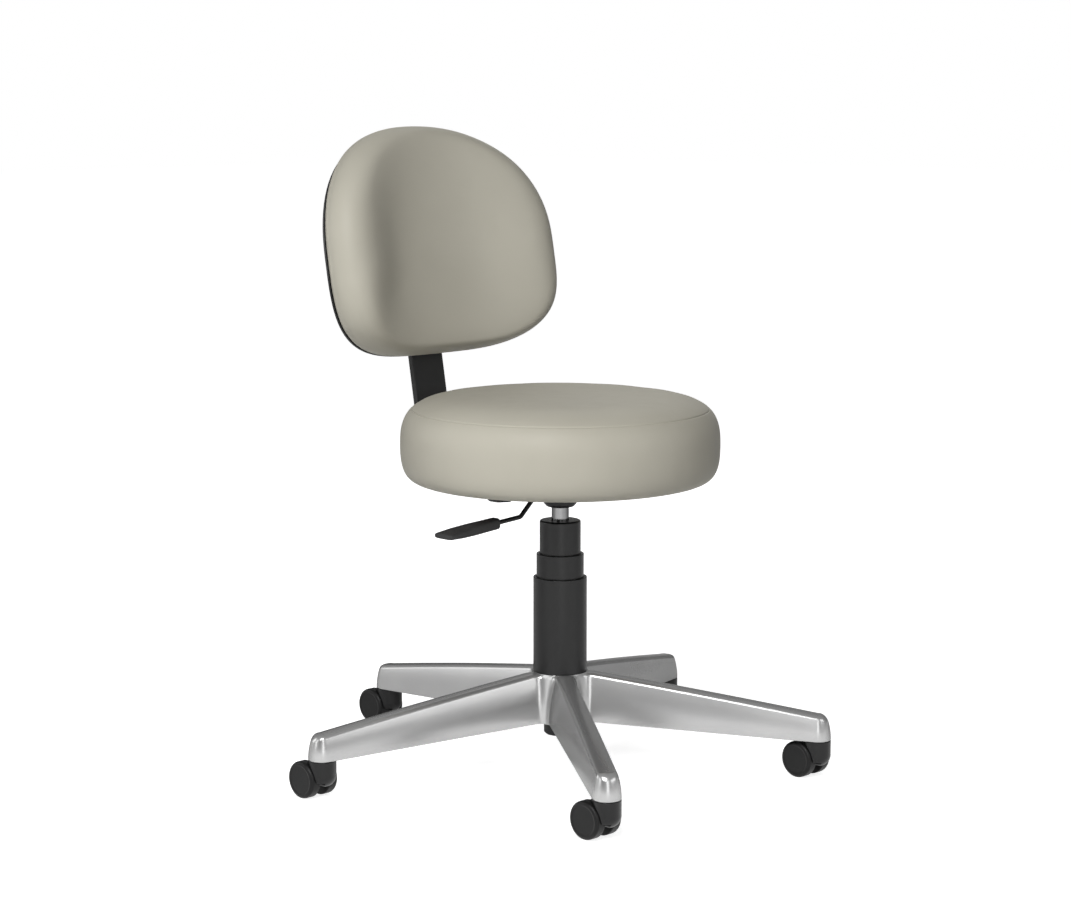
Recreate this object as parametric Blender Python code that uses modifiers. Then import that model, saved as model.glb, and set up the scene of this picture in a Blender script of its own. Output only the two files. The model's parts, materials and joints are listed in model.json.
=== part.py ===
"""Rolling stool with a backrest.

A cast five-arm base on twin-wheel casters, a gas spring inside telescopic sleeves, a round upholstered
seat on a steel plate with a release lever, and an upholstered back on a flat bar. Sizes are in metres,
+Z is up, the floor is at Z = 0 and the sitter faces -Y. The origin is on the floor, under the middle of
the stool's bounding box, so the column stands a little in front of it.
"""
import math

import bmesh
import bpy
from mathutils import Vector

# Fits between pieces
REST_GAP = 0.0003  # between faces that rest on each other
RUNNING_GAP = 0.0003  # all round a piece that turns or slides in another
GLUE_GAP = 0.0008  # between the back's curved faces, which are glued

# Five-arm base
ARM_COUNT = 5
STEM_CIRCLE_RADIUS = 0.3298
ARM_TIP_RADIUS = 0.0175
ARM_ROOT_HALF_WIDTH = 0.0205
ARM_TIP_UNDERSIDE_Z = 0.0490
ARM_TIP_HEIGHT = 0.0335
HUB_UNDERSIDE_Z = 0.0650
HUB_HEIGHT = 0.0625
HUB_FILLET_RADIUS = 0.0080
HUB_RADIUS = 0.0352
HUB_EDGE = 0.0002
ARM_DRAFT = math.radians(3.0)
ARM_SIDE_EDGE_RADIUS = 0.0130
ARM_TIP_EDGE_RADIUS = 0.0150
UNDERSIDE_EDGE_RADIUS = 0.0008
ARM_WALL = 0.0040
ARM_RIB = 0.0060
POCKET_END_CLEARANCE = 0.0100

# Casters
STEM_RADIUS = 0.0050
STEM_GRIP_LENGTH = 0.0200
STEM_HOOD_LENGTH = 0.0180
HOOD_HEIGHT = 0.0330
HOOD_ROUNDING = 0.0140
HOOD_WEB = 0.0130
AXLE_BOSS_RADIUS = 0.0075
CASTER_TRAIL = 0.0180
WHEEL_RADIUS = 0.0235
WHEEL_WIDTH = 0.0140
WHEEL_SIDE_GAP = 0.0008
WHEEL_RIM_GAP = 0.0008
WHEEL_EDGE_RADIUS = 0.0040
WHEEL_FACE_DISH = 0.0006
AXLE_RADIUS = 0.0030
AXLE_BORE_DEPTH = 0.0100

# Telescopic sleeves, three of one length
SLEEVE_LENGTH = 0.1222
SLEEVE_WALL = 0.0020
SLEEVE_LIP = 0.0025
SLEEVE_EDGE = 0.0010
OUTER_SLEEVE_RADIUS = 0.0343
SLEEVE_STEP = 0.0040
MIDDLE_SLEEVE_RISE = 0.0301
INNER_SLEEVE_RISE = 0.0730
INNER_SLEEVE_ROUNDING = 0.0028

# Gas spring
STANDING_TUBE_RADIUS = 0.0214
STANDING_TUBE_WALL = 0.0022
STANDING_TUBE_TAPER = 0.0006
STANDING_TUBE_BELOW_HUB = 0.0205
STANDING_TUBE_LENGTH = 0.2175
TUBE_END_PLATE = 0.0060
TUBE_END_CHAMFER = 0.0025
PRESSURE_TUBE_RADIUS = 0.0110
PRESSURE_TUBE_WALL = 0.0020
PRESSURE_TUBE_LENGTH = 0.2405
TUBE_TOP_WALL = 0.0060
TUBE_GLAND = 0.0120
GUIDE_BUSH_LENGTH = 0.0600
GUIDE_BUSH_FLANGE = 0.0025
PISTON_ROD_RADIUS = 0.0050
ROD_NECK_RADIUS = 0.0035
ROD_TAIL = 0.0045
ROD_COLLAR_RADIUS = 0.0080
ROD_COLLAR_HEIGHT = 0.0040
PISTON_HEIGHT = 0.0120
PISTON_ABOVE_END_PLATE = 0.1865
BEARING_RADIUS = 0.0130
BEARING_HEIGHT = 0.0075
CLIP_RADIUS = 0.0095
CLIP_THICKNESS = 0.0015
RELEASE_PIN_RADIUS = 0.0040
RELEASE_PIN_LENGTH = 0.0207

# Seat
SEAT_RADIUS = 0.2029
SEAT_BOTTOM_Z = 0.3726
SEAT_EQUATOR_RISE = 0.0524
SEAT_CROWN_RISE = 0.0581
SEAT_SEAM_ANGLE = math.radians(41.0)
SEAM_HALF_WIDTH_ANGLE = math.radians(1.6)
SEAM_DEPTH = 0.0018
SEAT_BOARD_THICKNESS = 0.0120
SEAT_BOARD_EDGE = 0.0290  # from the seat's equator in to the board's edge
SEAT_BOARD_RECESS = 0.0040  # the board's underside above the cushion's rim

# Seat plate and its socket on the pressure tube
PLATE_WIDTH = 0.1700
PLATE_FRONT = 0.0900
PLATE_REAR = 0.1550
PLATE_CORNER_RADIUS = 0.0200
PLATE_THICKNESS = 0.0040
SOCKET_RADIUS = 0.0220
SOCKET_DEPTH = 0.0330  # below the plate
SOCKET_ROUNDING = 0.0095
SOCKET_LIP = 0.0016
SOCKET_GRIP = 0.0185
LEVER_CAVITY_RADIUS = 0.0160
EAR_THICKNESS = 0.0030
EAR_LENGTH = 0.0120

# Release lever
LEVER_ROD_RADIUS = 0.0029
LEVER_BELOW_PLATE = 0.0068
LEVER_PIVOT_REACH = 0.0320
LEVER_BARREL_RADIUS = 0.0050
LEVER_BARREL_LENGTH = 0.0090
LEVER_PIN_RADIUS = 0.0019
LEVER_NOSE = 0.0045
LEVER_ELBOW_REACH = 0.0372
LEVER_DROP = 0.0308
LEVER_DROP_RUN = 0.0340
LEVER_BEND_RADIUS = 0.0080
GRIP_START = 0.1120
GRIP_LENGTH = 0.0925
GRIP_NECK_HALF_WIDTH = 0.0072
GRIP_HALF_WIDTH = 0.0160
GRIP_THICKNESS = 0.0112
GRIP_TIP_THICKNESS = 0.0060
GRIP_SLOPE = math.radians(3.8)
GRIP_SOCKET_DEPTH = 0.0250

# Back bar and its bracket
BAR_WIDTH = 0.0550
BAR_THICKNESS = 0.0080
BAR_LEAN = math.radians(10.0)
BAR_REAR = 0.2226  # front face of the upright, behind the column, at the level of the leg's middle
BAR_LEG_FRONT = 0.0650
BAR_BEND_RADIUS = 0.0300
BAR_UPRIGHT_LENGTH = 0.3800
BRACKET_WALL = 0.0030
BRACKET_LENGTH = 0.0850
BRACKET_FRONT = 0.0620

# Hand knobs
KNOB_RADIUS = 0.0185
KNOB_LOBES = 6
KNOB_LOBE_DEPTH = 0.0020
KNOB_HEIGHT = 0.0130
KNOB_EDGE = 0.0025
KNOB_STUD_RADIUS = 0.0040
KNOB_BOSS_RADIUS = 0.0090
KNOB_BOSS_HEIGHT = 0.0080
DEPTH_KNOB_Y = 0.1080
DEPTH_BOSS_HEIGHT = 0.0125

# Backrest
BACK_WIDTH = 0.3840
BACK_UPPER_HEIGHT = 0.1682
BACK_LOWER_HEIGHT = 0.1340
BACK_UPPER_EXPONENT = 2.20
BACK_LOWER_EXPONENT = 3.46
BACK_WRAP_RADIUS = 0.5050
BACK_MIDDLE_ALONG_BAR = 0.2835  # from the leg's middle level up the bar to the back's widest line
BACK_PAD_THICKNESS = 0.0420
BACK_PAD_EDGE = 0.0250
BACK_PAD_DRAW_IN = 0.0050
BACK_PAD_HOLLOW = 0.0030
BACK_SHELL_THICKNESS = 0.0050
BACK_SHELL_INSET = 0.0010
BACK_SHELL_EDGE = 0.0020
BACK_BOARD_THICKNESS = 0.0080
BACK_BOARD_INSET = 0.0180
SLEEVE_PLATE_WALL = 0.0025
BACK_SLEEVE_LENGTH = 0.0800

# Facets
SLEEVE_STEPS = 32
SMALL_STEPS = 24
PIN_STEPS = 12
SEAT_STEPS = 44
WHEEL_STEPS = 24
BACK_OUTLINE_POINTS = 36
GRIP_SECTION_POINTS = 16

# Levels and places worked out from the sizes above
ARM_PITCH = 2 * math.pi / ARM_COUNT
HUB_TOP_Z = HUB_UNDERSIDE_Z + HUB_HEIGHT
REAR_REACH = STEM_CIRCLE_RADIUS + CASTER_TRAIL + WHEEL_RADIUS
FRONT_REACH = STEM_CIRCLE_RADIUS * math.cos(ARM_PITCH / 2) + ARM_TIP_RADIUS
COLUMN_Y = (FRONT_REACH - REAR_REACH) / 2
HOOD_TOP_Z = ARM_TIP_UNDERSIDE_Z - REST_GAP
TUBE_BOTTOM_Z = HUB_UNDERSIDE_Z - STANDING_TUBE_BELOW_HUB
TUBE_TOP_Z = TUBE_BOTTOM_Z + STANDING_TUBE_LENGTH
END_PLATE_TOP_Z = TUBE_BOTTOM_Z + TUBE_END_PLATE
SEAT_BOARD_RADIUS = SEAT_RADIUS - SEAT_BOARD_EDGE
PLATE_TOP_Z = SEAT_BOTTOM_Z + SEAT_BOARD_RECESS
PLATE_BOTTOM_Z = PLATE_TOP_Z - PLATE_THICKNESS
SOCKET_BOTTOM_Z = PLATE_BOTTOM_Z - SOCKET_DEPTH
PRESSURE_TUBE_TOP_Z = SOCKET_BOTTOM_Z + SOCKET_GRIP
LEVER_Z = PLATE_BOTTOM_Z - LEVER_BELOW_PLATE
LEG_TOP_Z = PLATE_BOTTOM_Z - REST_GAP - RUNNING_GAP
LEG_MIDDLE_Z = LEG_TOP_Z - BAR_THICKNESS / 2
BRACKET_BOTTOM_Z = LEG_TOP_Z - BAR_THICKNESS - RUNNING_GAP - BRACKET_WALL


def clear_scene():
    for obj in list(bpy.data.objects):
        bpy.data.objects.remove(obj, do_unlink=True)


def new_collection(name):
    collection = bpy.data.collections.new(name)
    bpy.context.scene.collection.children.link(collection)
    return collection


def make_material(name, colour, roughness, metallic=0.0):
    material = bpy.data.materials.new(name)
    material.use_nodes = True
    shader = material.node_tree.nodes["Principled BSDF"]
    shader.inputs["Base Color"].default_value = (*colour, 1.0)
    shader.inputs["Roughness"].default_value = roughness
    shader.inputs["Metallic"].default_value = metallic
    return material


clear_scene()
PARTS = new_collection("rolling_stool")
CUTTERS = new_collection("rolling_stool_cutters")

POLISHED = make_material("polished_aluminium", (0.78, 0.78, 0.78), 0.22, 1.0)
CHROME = make_material("chrome", (0.85, 0.85, 0.86), 0.08, 1.0)
STEEL = make_material("bright_steel", (0.62, 0.62, 0.63), 0.30, 1.0)
BLACK_PAINT = make_material("black_paint", (0.025, 0.025, 0.025), 0.45)
BLACK_PLASTIC = make_material("black_plastic", (0.030, 0.030, 0.030), 0.55)
TREAD = make_material("wheel_nylon", (0.022, 0.022, 0.022), 0.50)
BUSH = make_material("bush_plastic", (0.70, 0.69, 0.64), 0.40)
PLYWOOD = make_material("plywood", (0.55, 0.40, 0.24), 0.70)
UPHOLSTERY = make_material("grey_upholstery", (0.42, 0.40, 0.35), 0.55)


def make_empty(name, parent=None, location=(0, 0, 0), rotation=(0, 0, 0)):
    empty = bpy.data.objects.new(name, None)
    PARTS.objects.link(empty)
    empty.parent = parent
    empty.location = location
    empty.rotation_euler = rotation
    return empty


def place(obj, parent, location, rotation, material):
    """Put a piece in the stool's collection, or among the cutters when it has no material."""
    obj.parent = parent
    obj.location = location
    obj.rotation_euler = rotation
    if material is None:
        CUTTERS.objects.link(obj)
        obj.hide_render = True
        obj.display_type = "WIRE"
    else:
        PARTS.objects.link(obj)
        obj.data.materials.append(material)
    return obj


def smooth(mesh, angle=math.radians(35)):
    mesh.shade_smooth()
    mesh.set_sharp_from_angle(angle=angle)


def turned(name, profile, steps, material, parent, location=(0, 0, 0), rotation=(0, 0, 0), ring=True):
    """Turn a profile of (radius, height) points, listed down its outer side, about the local Z axis."""
    count = len(profile)
    edges = [(i, i + 1) for i in range(count - 1)]
    if ring:
        edges.append((count - 1, 0))
    mesh = bpy.data.meshes.new(name)
    mesh.from_pydata([(radius, 0.0, height) for radius, height in profile], edges, [])
    obj = place(bpy.data.objects.new(name, mesh), parent, location, rotation, material)
    screw = obj.modifiers.new("turn", "SCREW")
    screw.axis = "Z"
    screw.angle = 2 * math.pi
    screw.steps = steps
    screw.render_steps = steps
    screw.use_merge_vertices = True
    screw.merge_threshold = 0.00001
    return obj


def solid_of(name, bm, material, parent, location=(0, 0, 0), rotation=(0, 0, 0)):
    """Make a closed bmesh into a piece with its faces pointing out."""
    bmesh.ops.recalc_face_normals(bm, faces=bm.faces)
    mesh = bpy.data.meshes.new(name)
    bm.to_mesh(mesh)
    bm.free()
    smooth(mesh)
    return place(bpy.data.objects.new(name, mesh), parent, location, rotation, material)


def loft(rings):
    """Skin closed rings of equally many points, with a flat face over each end."""
    bm = bmesh.new()
    loops = [[bm.verts.new(point) for point in ring] for ring in rings]
    for lower, upper in zip(loops, loops[1:]):
        for i in range(len(lower)):
            j = (i + 1) % len(lower)
            bm.faces.new((lower[i], lower[j], upper[j], upper[i]))
    bm.faces.new(list(reversed(loops[0])))
    bm.faces.new(loops[-1])
    return bm


def box(name, low, high, material, parent, rotation=(0, 0, 0), location=(0, 0, 0)):
    bm = bmesh.new()
    bmesh.ops.create_cube(bm, size=1.0)
    for vert in bm.verts:
        vert.co = Vector([low[k] if vert.co[k] < 0 else high[k] for k in range(3)])
    return solid_of(name, bm, material, parent, location, rotation)


def extruded(name, outline, thickness, material, parent, location=(0, 0, 0), rotation=(0, 0, 0)):
    """Extrude a flat outline by half its thickness to each side, as a closed mesh."""
    curve = bpy.data.curves.new(name + "_outline", "CURVE")
    curve.dimensions = "2D"
    curve.fill_mode = "BOTH"
    curve.extrude = thickness / 2
    spline = curve.splines.new("POLY")
    spline.points.add(len(outline) - 1)
    for point, (x, y) in zip(spline.points, outline):
        point.co = (x, y, 0.0, 1.0)
    spline.use_cyclic_u = True
    return mesh_of_curve(name, curve, material, parent, location, rotation)


def rod(name, path, radius, material, parent, location=(0, 0, 0), rotation=(0, 0, 0)):
    """A round bar along a path of points, with closed ends."""
    curve = bpy.data.curves.new(name + "_path", "CURVE")
    curve.dimensions = "3D"
    curve.bevel_depth = radius
    curve.bevel_resolution = 2
    curve.use_fill_caps = True
    spline = curve.splines.new("POLY")
    spline.points.add(len(path) - 1)
    for point, co in zip(spline.points, path):
        point.co = (*co, 1.0)
    return mesh_of_curve(name, curve, material, parent, location, rotation)


def mesh_of_curve(name, curve, material, parent, location, rotation):
    source = bpy.data.objects.new(name + "_curve", curve)
    bpy.context.scene.collection.objects.link(source)
    bpy.context.view_layer.update()
    evaluated = source.evaluated_get(bpy.context.evaluated_depsgraph_get())
    mesh = bpy.data.meshes.new_from_object(evaluated)
    bpy.data.objects.remove(source, do_unlink=True)
    mesh.materials.clear()
    bm = bmesh.new()
    bm.from_mesh(mesh)
    bpy.data.meshes.remove(mesh)
    bmesh.ops.remove_doubles(bm, verts=bm.verts, dist=0.000005)
    return solid_of(name, bm, material, parent, location, rotation)


def boolean(obj, tool, operation):
    modifier = obj.modifiers.new(operation.lower(), "BOOLEAN")
    modifier.operation = operation
    modifier.solver = "EXACT"
    modifier.object = tool


def cut(obj, tool):
    boolean(obj, tool, "DIFFERENCE")


def fuse(obj, tool):
    boolean(obj, tool, "UNION")


def arc(centre, radius, start, end, count):
    """Points of a circular arc in a plane, both ends included."""
    steps = [start + (end - start) * i / (count - 1) for i in range(count)]
    return [(centre[0] + radius * math.cos(a), centre[1] + radius * math.sin(a)) for a in steps]


def rounded_path(corners, radius, count):
    """An open path through corner points, with every inner corner replaced by an arc."""
    path = [Vector(corners[0])]
    for before, corner, after in zip(corners, corners[1:], corners[2:]):
        corner = Vector(corner)
        back = (Vector(before) - corner).normalized()
        ahead = (Vector(after) - corner).normalized()
        half = back.angle(ahead) / 2
        bisector = (back + ahead).normalized()
        centre = corner + bisector * (radius / math.sin(half))
        start = corner + back * (radius / math.tan(half)) - centre
        end = corner + ahead * (radius / math.tan(half)) - centre
        for i in range(count):
            share = i / (count - 1)
            spread = start.angle(end)
            weight_a = math.sin((1 - share) * spread) / math.sin(spread)
            weight_b = math.sin(share * spread) / math.sin(spread)
            path.append(centre + start * weight_a + end * weight_b)
    path.append(Vector(corners[-1]))
    return path


def rounded_rectangle(half_width, front, rear, radius, count):
    """A plan outline between y = -front and y = rear."""
    x = half_width - radius
    points = arc((x, rear - radius), radius, 0, math.pi / 2, count)
    points += arc((-x, rear - radius), radius, math.pi / 2, math.pi, count)
    points += arc((-x, radius - front), radius, math.pi, 1.5 * math.pi, count)
    points += arc((x, radius - front), radius, 1.5 * math.pi, 2 * math.pi, count)
    return points


STOOL = make_empty("stool", location=(0, COLUMN_Y, 0))


# Five-arm base: a star outline drawn at several levels, with drafted walls and rounded edges

ARM_ANGLES = [math.pi / 2 + k * ARM_PITCH for k in range(ARM_COUNT)]
FILLET_CENTRE = (ARM_ROOT_HALF_WIDTH + HUB_FILLET_RADIUS) / math.sin(ARM_PITCH / 2)
ARM_START = FILLET_CENTRE * math.cos(ARM_PITCH / 2)
TIP_ARC_POINTS = 9
FILLET_ARC_POINTS = 5


def along_arm(x, at_hub, at_tip):
    share = min(1.0, max(0.0, (x - ARM_START) / (STEM_CIRCLE_RADIUS - ARM_START)))
    return at_hub + (at_tip - at_hub) * share


def arm_underside(x):
    return along_arm(x, HUB_UNDERSIDE_Z, ARM_TIP_UNDERSIDE_Z)


def arm_top(x):
    return along_arm(x, HUB_TOP_Z, ARM_TIP_UNDERSIDE_Z + ARM_TIP_HEIGHT)


def arm_half_width(x):
    return along_arm(x, ARM_ROOT_HALF_WIDTH, ARM_TIP_RADIUS)


def arm_outline():
    """One arm and the fillet after it: (x, y, inward normal, edge radius), the arm along +X."""
    points = [(ARM_START, -ARM_ROOT_HALF_WIDTH, (0, 1), ARM_SIDE_EDGE_RADIUS)]
    for i in range(TIP_ARC_POINTS):
        angle = math.pi * (i / (TIP_ARC_POINTS - 1) - 0.5)
        edge = ARM_SIDE_EDGE_RADIUS + (ARM_TIP_EDGE_RADIUS - ARM_SIDE_EDGE_RADIUS) * math.cos(angle)
        x = STEM_CIRCLE_RADIUS + ARM_TIP_RADIUS * math.cos(angle)
        points.append((x, ARM_TIP_RADIUS * math.sin(angle), (-math.cos(angle), -math.sin(angle)), edge))
    points.append((ARM_START, ARM_ROOT_HALF_WIDTH, (0, -1), ARM_SIDE_EDGE_RADIUS))
    centre = (ARM_START, FILLET_CENTRE * math.sin(ARM_PITCH / 2))
    sweep = math.pi - ARM_PITCH
    for i in range(1, FILLET_ARC_POINTS - 1):
        angle = -math.pi / 2 - sweep * i / (FILLET_ARC_POINTS - 1)
        normal = (math.cos(angle), math.sin(angle))
        x = centre[0] + HUB_FILLET_RADIUS * normal[0]
        y = centre[1] + HUB_FILLET_RADIUS * normal[1]
        points.append((x, y, normal, ARM_SIDE_EDGE_RADIUS))
    return points


def star_ring(level):
    """The star outline at one level: 0 and 1 the rounded underside edge, 2 to 5 up round the top edge."""
    ring = []
    for turn in ARM_ANGLES:
        for x, y, normal, edge in arm_outline():
            low = arm_underside(x)
            high = arm_top(x)
            wall = (high - low - edge) * math.tan(ARM_DRAFT)
            if level == 0:
                inset, z = UNDERSIDE_EDGE_RADIUS, low
            elif level == 1:
                inset, z = 0.0, low + UNDERSIDE_EDGE_RADIUS
            else:
                angle = (level - 2) * math.pi / 6
                inset = wall + edge * (1 - math.cos(angle))
                z = high - edge * (1 - math.sin(angle))
            px = x + normal[0] * inset
            py = y + normal[1] * inset
            ring.append(
                (px * math.cos(turn) - py * math.sin(turn), px * math.sin(turn) + py * math.cos(turn), z)
            )
    return ring


def cap_star(bm, loop):
    """Close a star ring: strips across each arm and one flat face over the hub."""
    per_arm = len(loop) // ARM_COUNT
    last = TIP_ARC_POINTS
    hub = []
    for k in range(ARM_COUNT):
        arm = loop[k * per_arm:(k + 1) * per_arm]
        bm.faces.new((arm[0], arm[1], arm[last], arm[last + 1]))
        for j in range(1, (last + 1) // 2):
            strip = [arm[j], arm[j + 1], arm[last - j], arm[last + 1 - j]]
            bm.faces.new(strip if strip[1] is not strip[2] else strip[:2] + strip[3:])
        hub.append(arm[0])
        hub.extend(arm[last + 1:])
    bm.faces.new(hub)


def make_base():
    bm = bmesh.new()
    loops = [[bm.verts.new(co) for co in star_ring(level)] for level in range(6)]
    for lower, upper in zip(loops, loops[1:]):
        for i in range(len(lower)):
            j = (i + 1) % len(lower)
            bm.faces.new((lower[i], lower[j], upper[j], upper[i]))
    cap_star(bm, loops[0])
    cap_star(bm, loops[-1])
    base = solid_of("star_base", bm, POLISHED, STOOL)

    # Round hub between the arms, a hair inside the arms' top and underside
    high = HUB_TOP_Z - HUB_EDGE
    low = HUB_UNDERSIDE_Z + UNDERSIDE_EDGE_RADIUS
    profile = [(0, high), (HUB_RADIUS, high), (HUB_RADIUS, low), (0, low)]
    fuse(base, turned("hub", profile, SLEEVE_STEPS, None, STOOL, ring=False))

    # Taper bore for the gas spring, running on past both faces at the same slope
    slope = STANDING_TUBE_TAPER / HUB_HEIGHT
    reach = UNDERSIDE_EDGE_RADIUS + REST_GAP
    top_radius = STANDING_TUBE_RADIUS + REST_GAP + slope * reach
    bottom_radius = STANDING_TUBE_RADIUS + REST_GAP - STANDING_TUBE_TAPER - slope * reach
    profile = [
        (0, HUB_TOP_Z + reach),
        (top_radius, HUB_TOP_Z + reach),
        (bottom_radius, HUB_UNDERSIDE_Z - reach),
        (0, HUB_UNDERSIDE_Z - reach),
    ]
    cut(base, turned("hub_bore", profile, SLEEVE_STEPS, None, STOOL, ring=False))

    # Stem sockets and the hollow underside, with one cross rib in each arm
    hollows = bpy.data.collections.new("base_hollows")
    CUTTERS.children.link(hollows)
    first = STANDING_TUBE_RADIUS + ARM_WALL + HUB_FILLET_RADIUS + ARM_RIB
    last = STEM_CIRCLE_RADIUS - ARM_TIP_RADIUS - POCKET_END_CLEARANCE
    middle = (first + last) / 2
    for k, turn in enumerate(ARM_ANGLES):
        stem = (STEM_CIRCLE_RADIUS * math.cos(turn), STEM_CIRCLE_RADIUS * math.sin(turn), 0)
        radius = STEM_RADIUS + RUNNING_GAP
        floor = ARM_TIP_UNDERSIDE_Z - UNDERSIDE_EDGE_RADIUS
        roof = ARM_TIP_UNDERSIDE_Z + STEM_GRIP_LENGTH + REST_GAP
        profile = [(0, roof), (radius, roof), (radius, floor), (0, floor)]
        socket = turned(f"socket_{k + 1}", profile, PIN_STEPS, None, STOOL, location=stem, ring=False)
        move_to(socket, hollows)
        spans = ((first, middle - ARM_RIB / 2), (middle + ARM_RIB / 2, last))
        for part, (start, end) in enumerate(spans):
            pocket = arm_pocket(f"pocket_{k + 1}_{part + 1}", start, end, turn)
            move_to(pocket, hollows)
    modifier = base.modifiers.new("hollows", "BOOLEAN")
    modifier.operation = "DIFFERENCE"
    modifier.solver = "EXACT"
    modifier.operand_type = "COLLECTION"
    modifier.collection = hollows


def move_to(obj, collection):
    CUTTERS.objects.unlink(obj)
    collection.objects.link(obj)


def arm_pocket(name, start, end, turn):
    """A tapered cavity open at the underside, one wall thickness inside the arm."""
    rings = []
    for x in (start, end):
        low = arm_underside(x) - UNDERSIDE_EDGE_RADIUS
        high = arm_top(x) - ARM_WALL - ARM_SIDE_EDGE_RADIUS / 2
        wide = arm_half_width(x) - ARM_WALL
        narrow = wide - (high - low) * math.tan(ARM_DRAFT)
        rings.append([(x, -wide, low), (x, wide, low), (x, narrow, high), (x, -narrow, high)])
    return solid_of(name, loft(rings), None, STOOL, rotation=(0, 0, turn))


# Casters: each has an empty on its swivel axis, and trails towards the back

WHEEL_INNER_FACE = HOOD_WEB / 2 + WHEEL_SIDE_GAP
WHEEL_HALF_FACET = math.pi / WHEEL_STEPS  # each wheel stands on a facet
AXLE_Z = WHEEL_RADIUS * math.cos(WHEEL_HALF_FACET)


def wheel_profile():
    """A wheel along +Z from its inner face, closed over the axle's end."""
    r = WHEEL_RADIUS
    outer = WHEEL_WIDTH
    edge = WHEEL_EDGE_RADIUS
    bore = AXLE_RADIUS + RUNNING_GAP
    points = [(0, outer - WHEEL_FACE_DISH), (r - 2 * edge, outer - WHEEL_FACE_DISH), (r - 1.7 * edge, outer)]
    points += arc((r - edge, outer - edge), edge, math.pi / 2, 0, 4)
    points += [(r, edge / 3), (r - edge / 3, 0), (bore, 0), (bore, AXLE_BORE_DEPTH), (0, AXLE_BORE_DEPTH)]
    return points


def hood_profile():
    low = HOOD_TOP_Z - HOOD_HEIGHT
    points = [(0, HOOD_TOP_Z), (ARM_TIP_RADIUS, HOOD_TOP_Z)]
    for i in range(6):
        angle = i * math.pi / 10
        radius = ARM_TIP_RADIUS - HOOD_ROUNDING * (1 - math.cos(angle))
        points.append((radius, low + HOOD_ROUNDING * (1 - math.sin(angle))))
    return points + [(0, low)]


def make_caster(number, turn):
    spot = (STEM_CIRCLE_RADIUS * math.cos(turn), STEM_CIRCLE_RADIUS * math.sin(turn), 0)
    pivot = make_empty(f"caster_{number}", STOOL, spot)
    axle_at = (0, CASTER_TRAIL, AXLE_Z)

    hood = turned(f"caster_hood_{number}", hood_profile(), SMALL_STEPS, BLACK_PLASTIC, pivot, ring=False)
    rim = WHEEL_RADIUS + WHEEL_RIM_GAP
    outside = WHEEL_INNER_FACE + WHEEL_WIDTH + ARM_TIP_RADIUS
    for side, sign in (("right", -1), ("left", 1)):
        well = [(0, outside), (rim, outside), (rim, HOOD_WEB / 2), (0, HOOD_WEB / 2)]
        name = f"wheel_well_{side}_{number}"
        outward = (0, sign * math.pi / 2, 0)
        cut(hood, turned(name, well, WHEEL_STEPS, None, pivot, axle_at, outward, ring=False))
    bore = STEM_RADIUS + REST_GAP
    floor = HOOD_TOP_Z - STEM_HOOD_LENGTH - REST_GAP
    profile = [(0, HOOD_TOP_Z + bore), (bore, HOOD_TOP_Z + bore), (bore, floor), (0, floor)]
    cut(hood, turned(f"stem_bore_{number}", profile, PIN_STEPS, None, pivot, ring=False))
    sideways = (0, math.pi / 2, 0)
    r = AXLE_BOSS_RADIUS
    half = HOOD_WEB / 2 - REST_GAP
    profile = [(0, half), (r, half), (r, -half), (0, -half)]
    name = f"axle_boss_{number}"
    fuse(hood, turned(name, profile, SMALL_STEPS, None, pivot, axle_at, sideways, ring=False))
    bore = AXLE_RADIUS + REST_GAP
    profile = [(0, HOOD_WEB), (bore, HOOD_WEB), (bore, -HOOD_WEB), (0, -HOOD_WEB)]
    cut(hood, turned(f"axle_bore_{number}", profile, PIN_STEPS, None, pivot, axle_at, sideways, ring=False))

    low = HOOD_TOP_Z - STEM_HOOD_LENGTH
    high = ARM_TIP_UNDERSIDE_Z + STEM_GRIP_LENGTH
    chamfer = STEM_RADIUS / 4
    profile = [(0, high), (STEM_RADIUS - chamfer, high), (STEM_RADIUS, high - chamfer)]
    profile += [(STEM_RADIUS, low), (0, low)]
    turned(f"caster_stem_{number}", profile, PIN_STEPS, STEEL, pivot, ring=False)

    half = WHEEL_INNER_FACE + AXLE_BORE_DEPTH - REST_GAP
    profile = [(0, half), (AXLE_RADIUS, half), (AXLE_RADIUS, -half), (0, -half)]
    turned(f"caster_axle_{number}", profile, PIN_STEPS, STEEL, pivot, axle_at, sideways, ring=False)

    for side, sign in (("right", -1), ("left", 1)):
        hub = make_empty(f"wheel_{side}_{number}_axis", pivot, axle_at, (0, sign * math.pi / 2, 0))
        at = (0, 0, WHEEL_INNER_FACE)
        name = f"wheel_{side}_{number}"
        turned(name, wheel_profile(), WHEEL_STEPS, TREAD, hub, at, (0, 0, WHEEL_HALF_FACET), ring=False)


# Telescopic sleeves and gas spring

MIDDLE_SLEEVE_RADIUS = OUTER_SLEEVE_RADIUS - SLEEVE_STEP
INNER_SLEEVE_RADIUS = MIDDLE_SLEEVE_RADIUS - SLEEVE_STEP
OUTER_SLEEVE_BOTTOM_Z = HUB_TOP_Z + REST_GAP
SLEEVE_FLANGE = SLEEVE_STEP - SLEEVE_WALL - RUNNING_GAP


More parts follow.
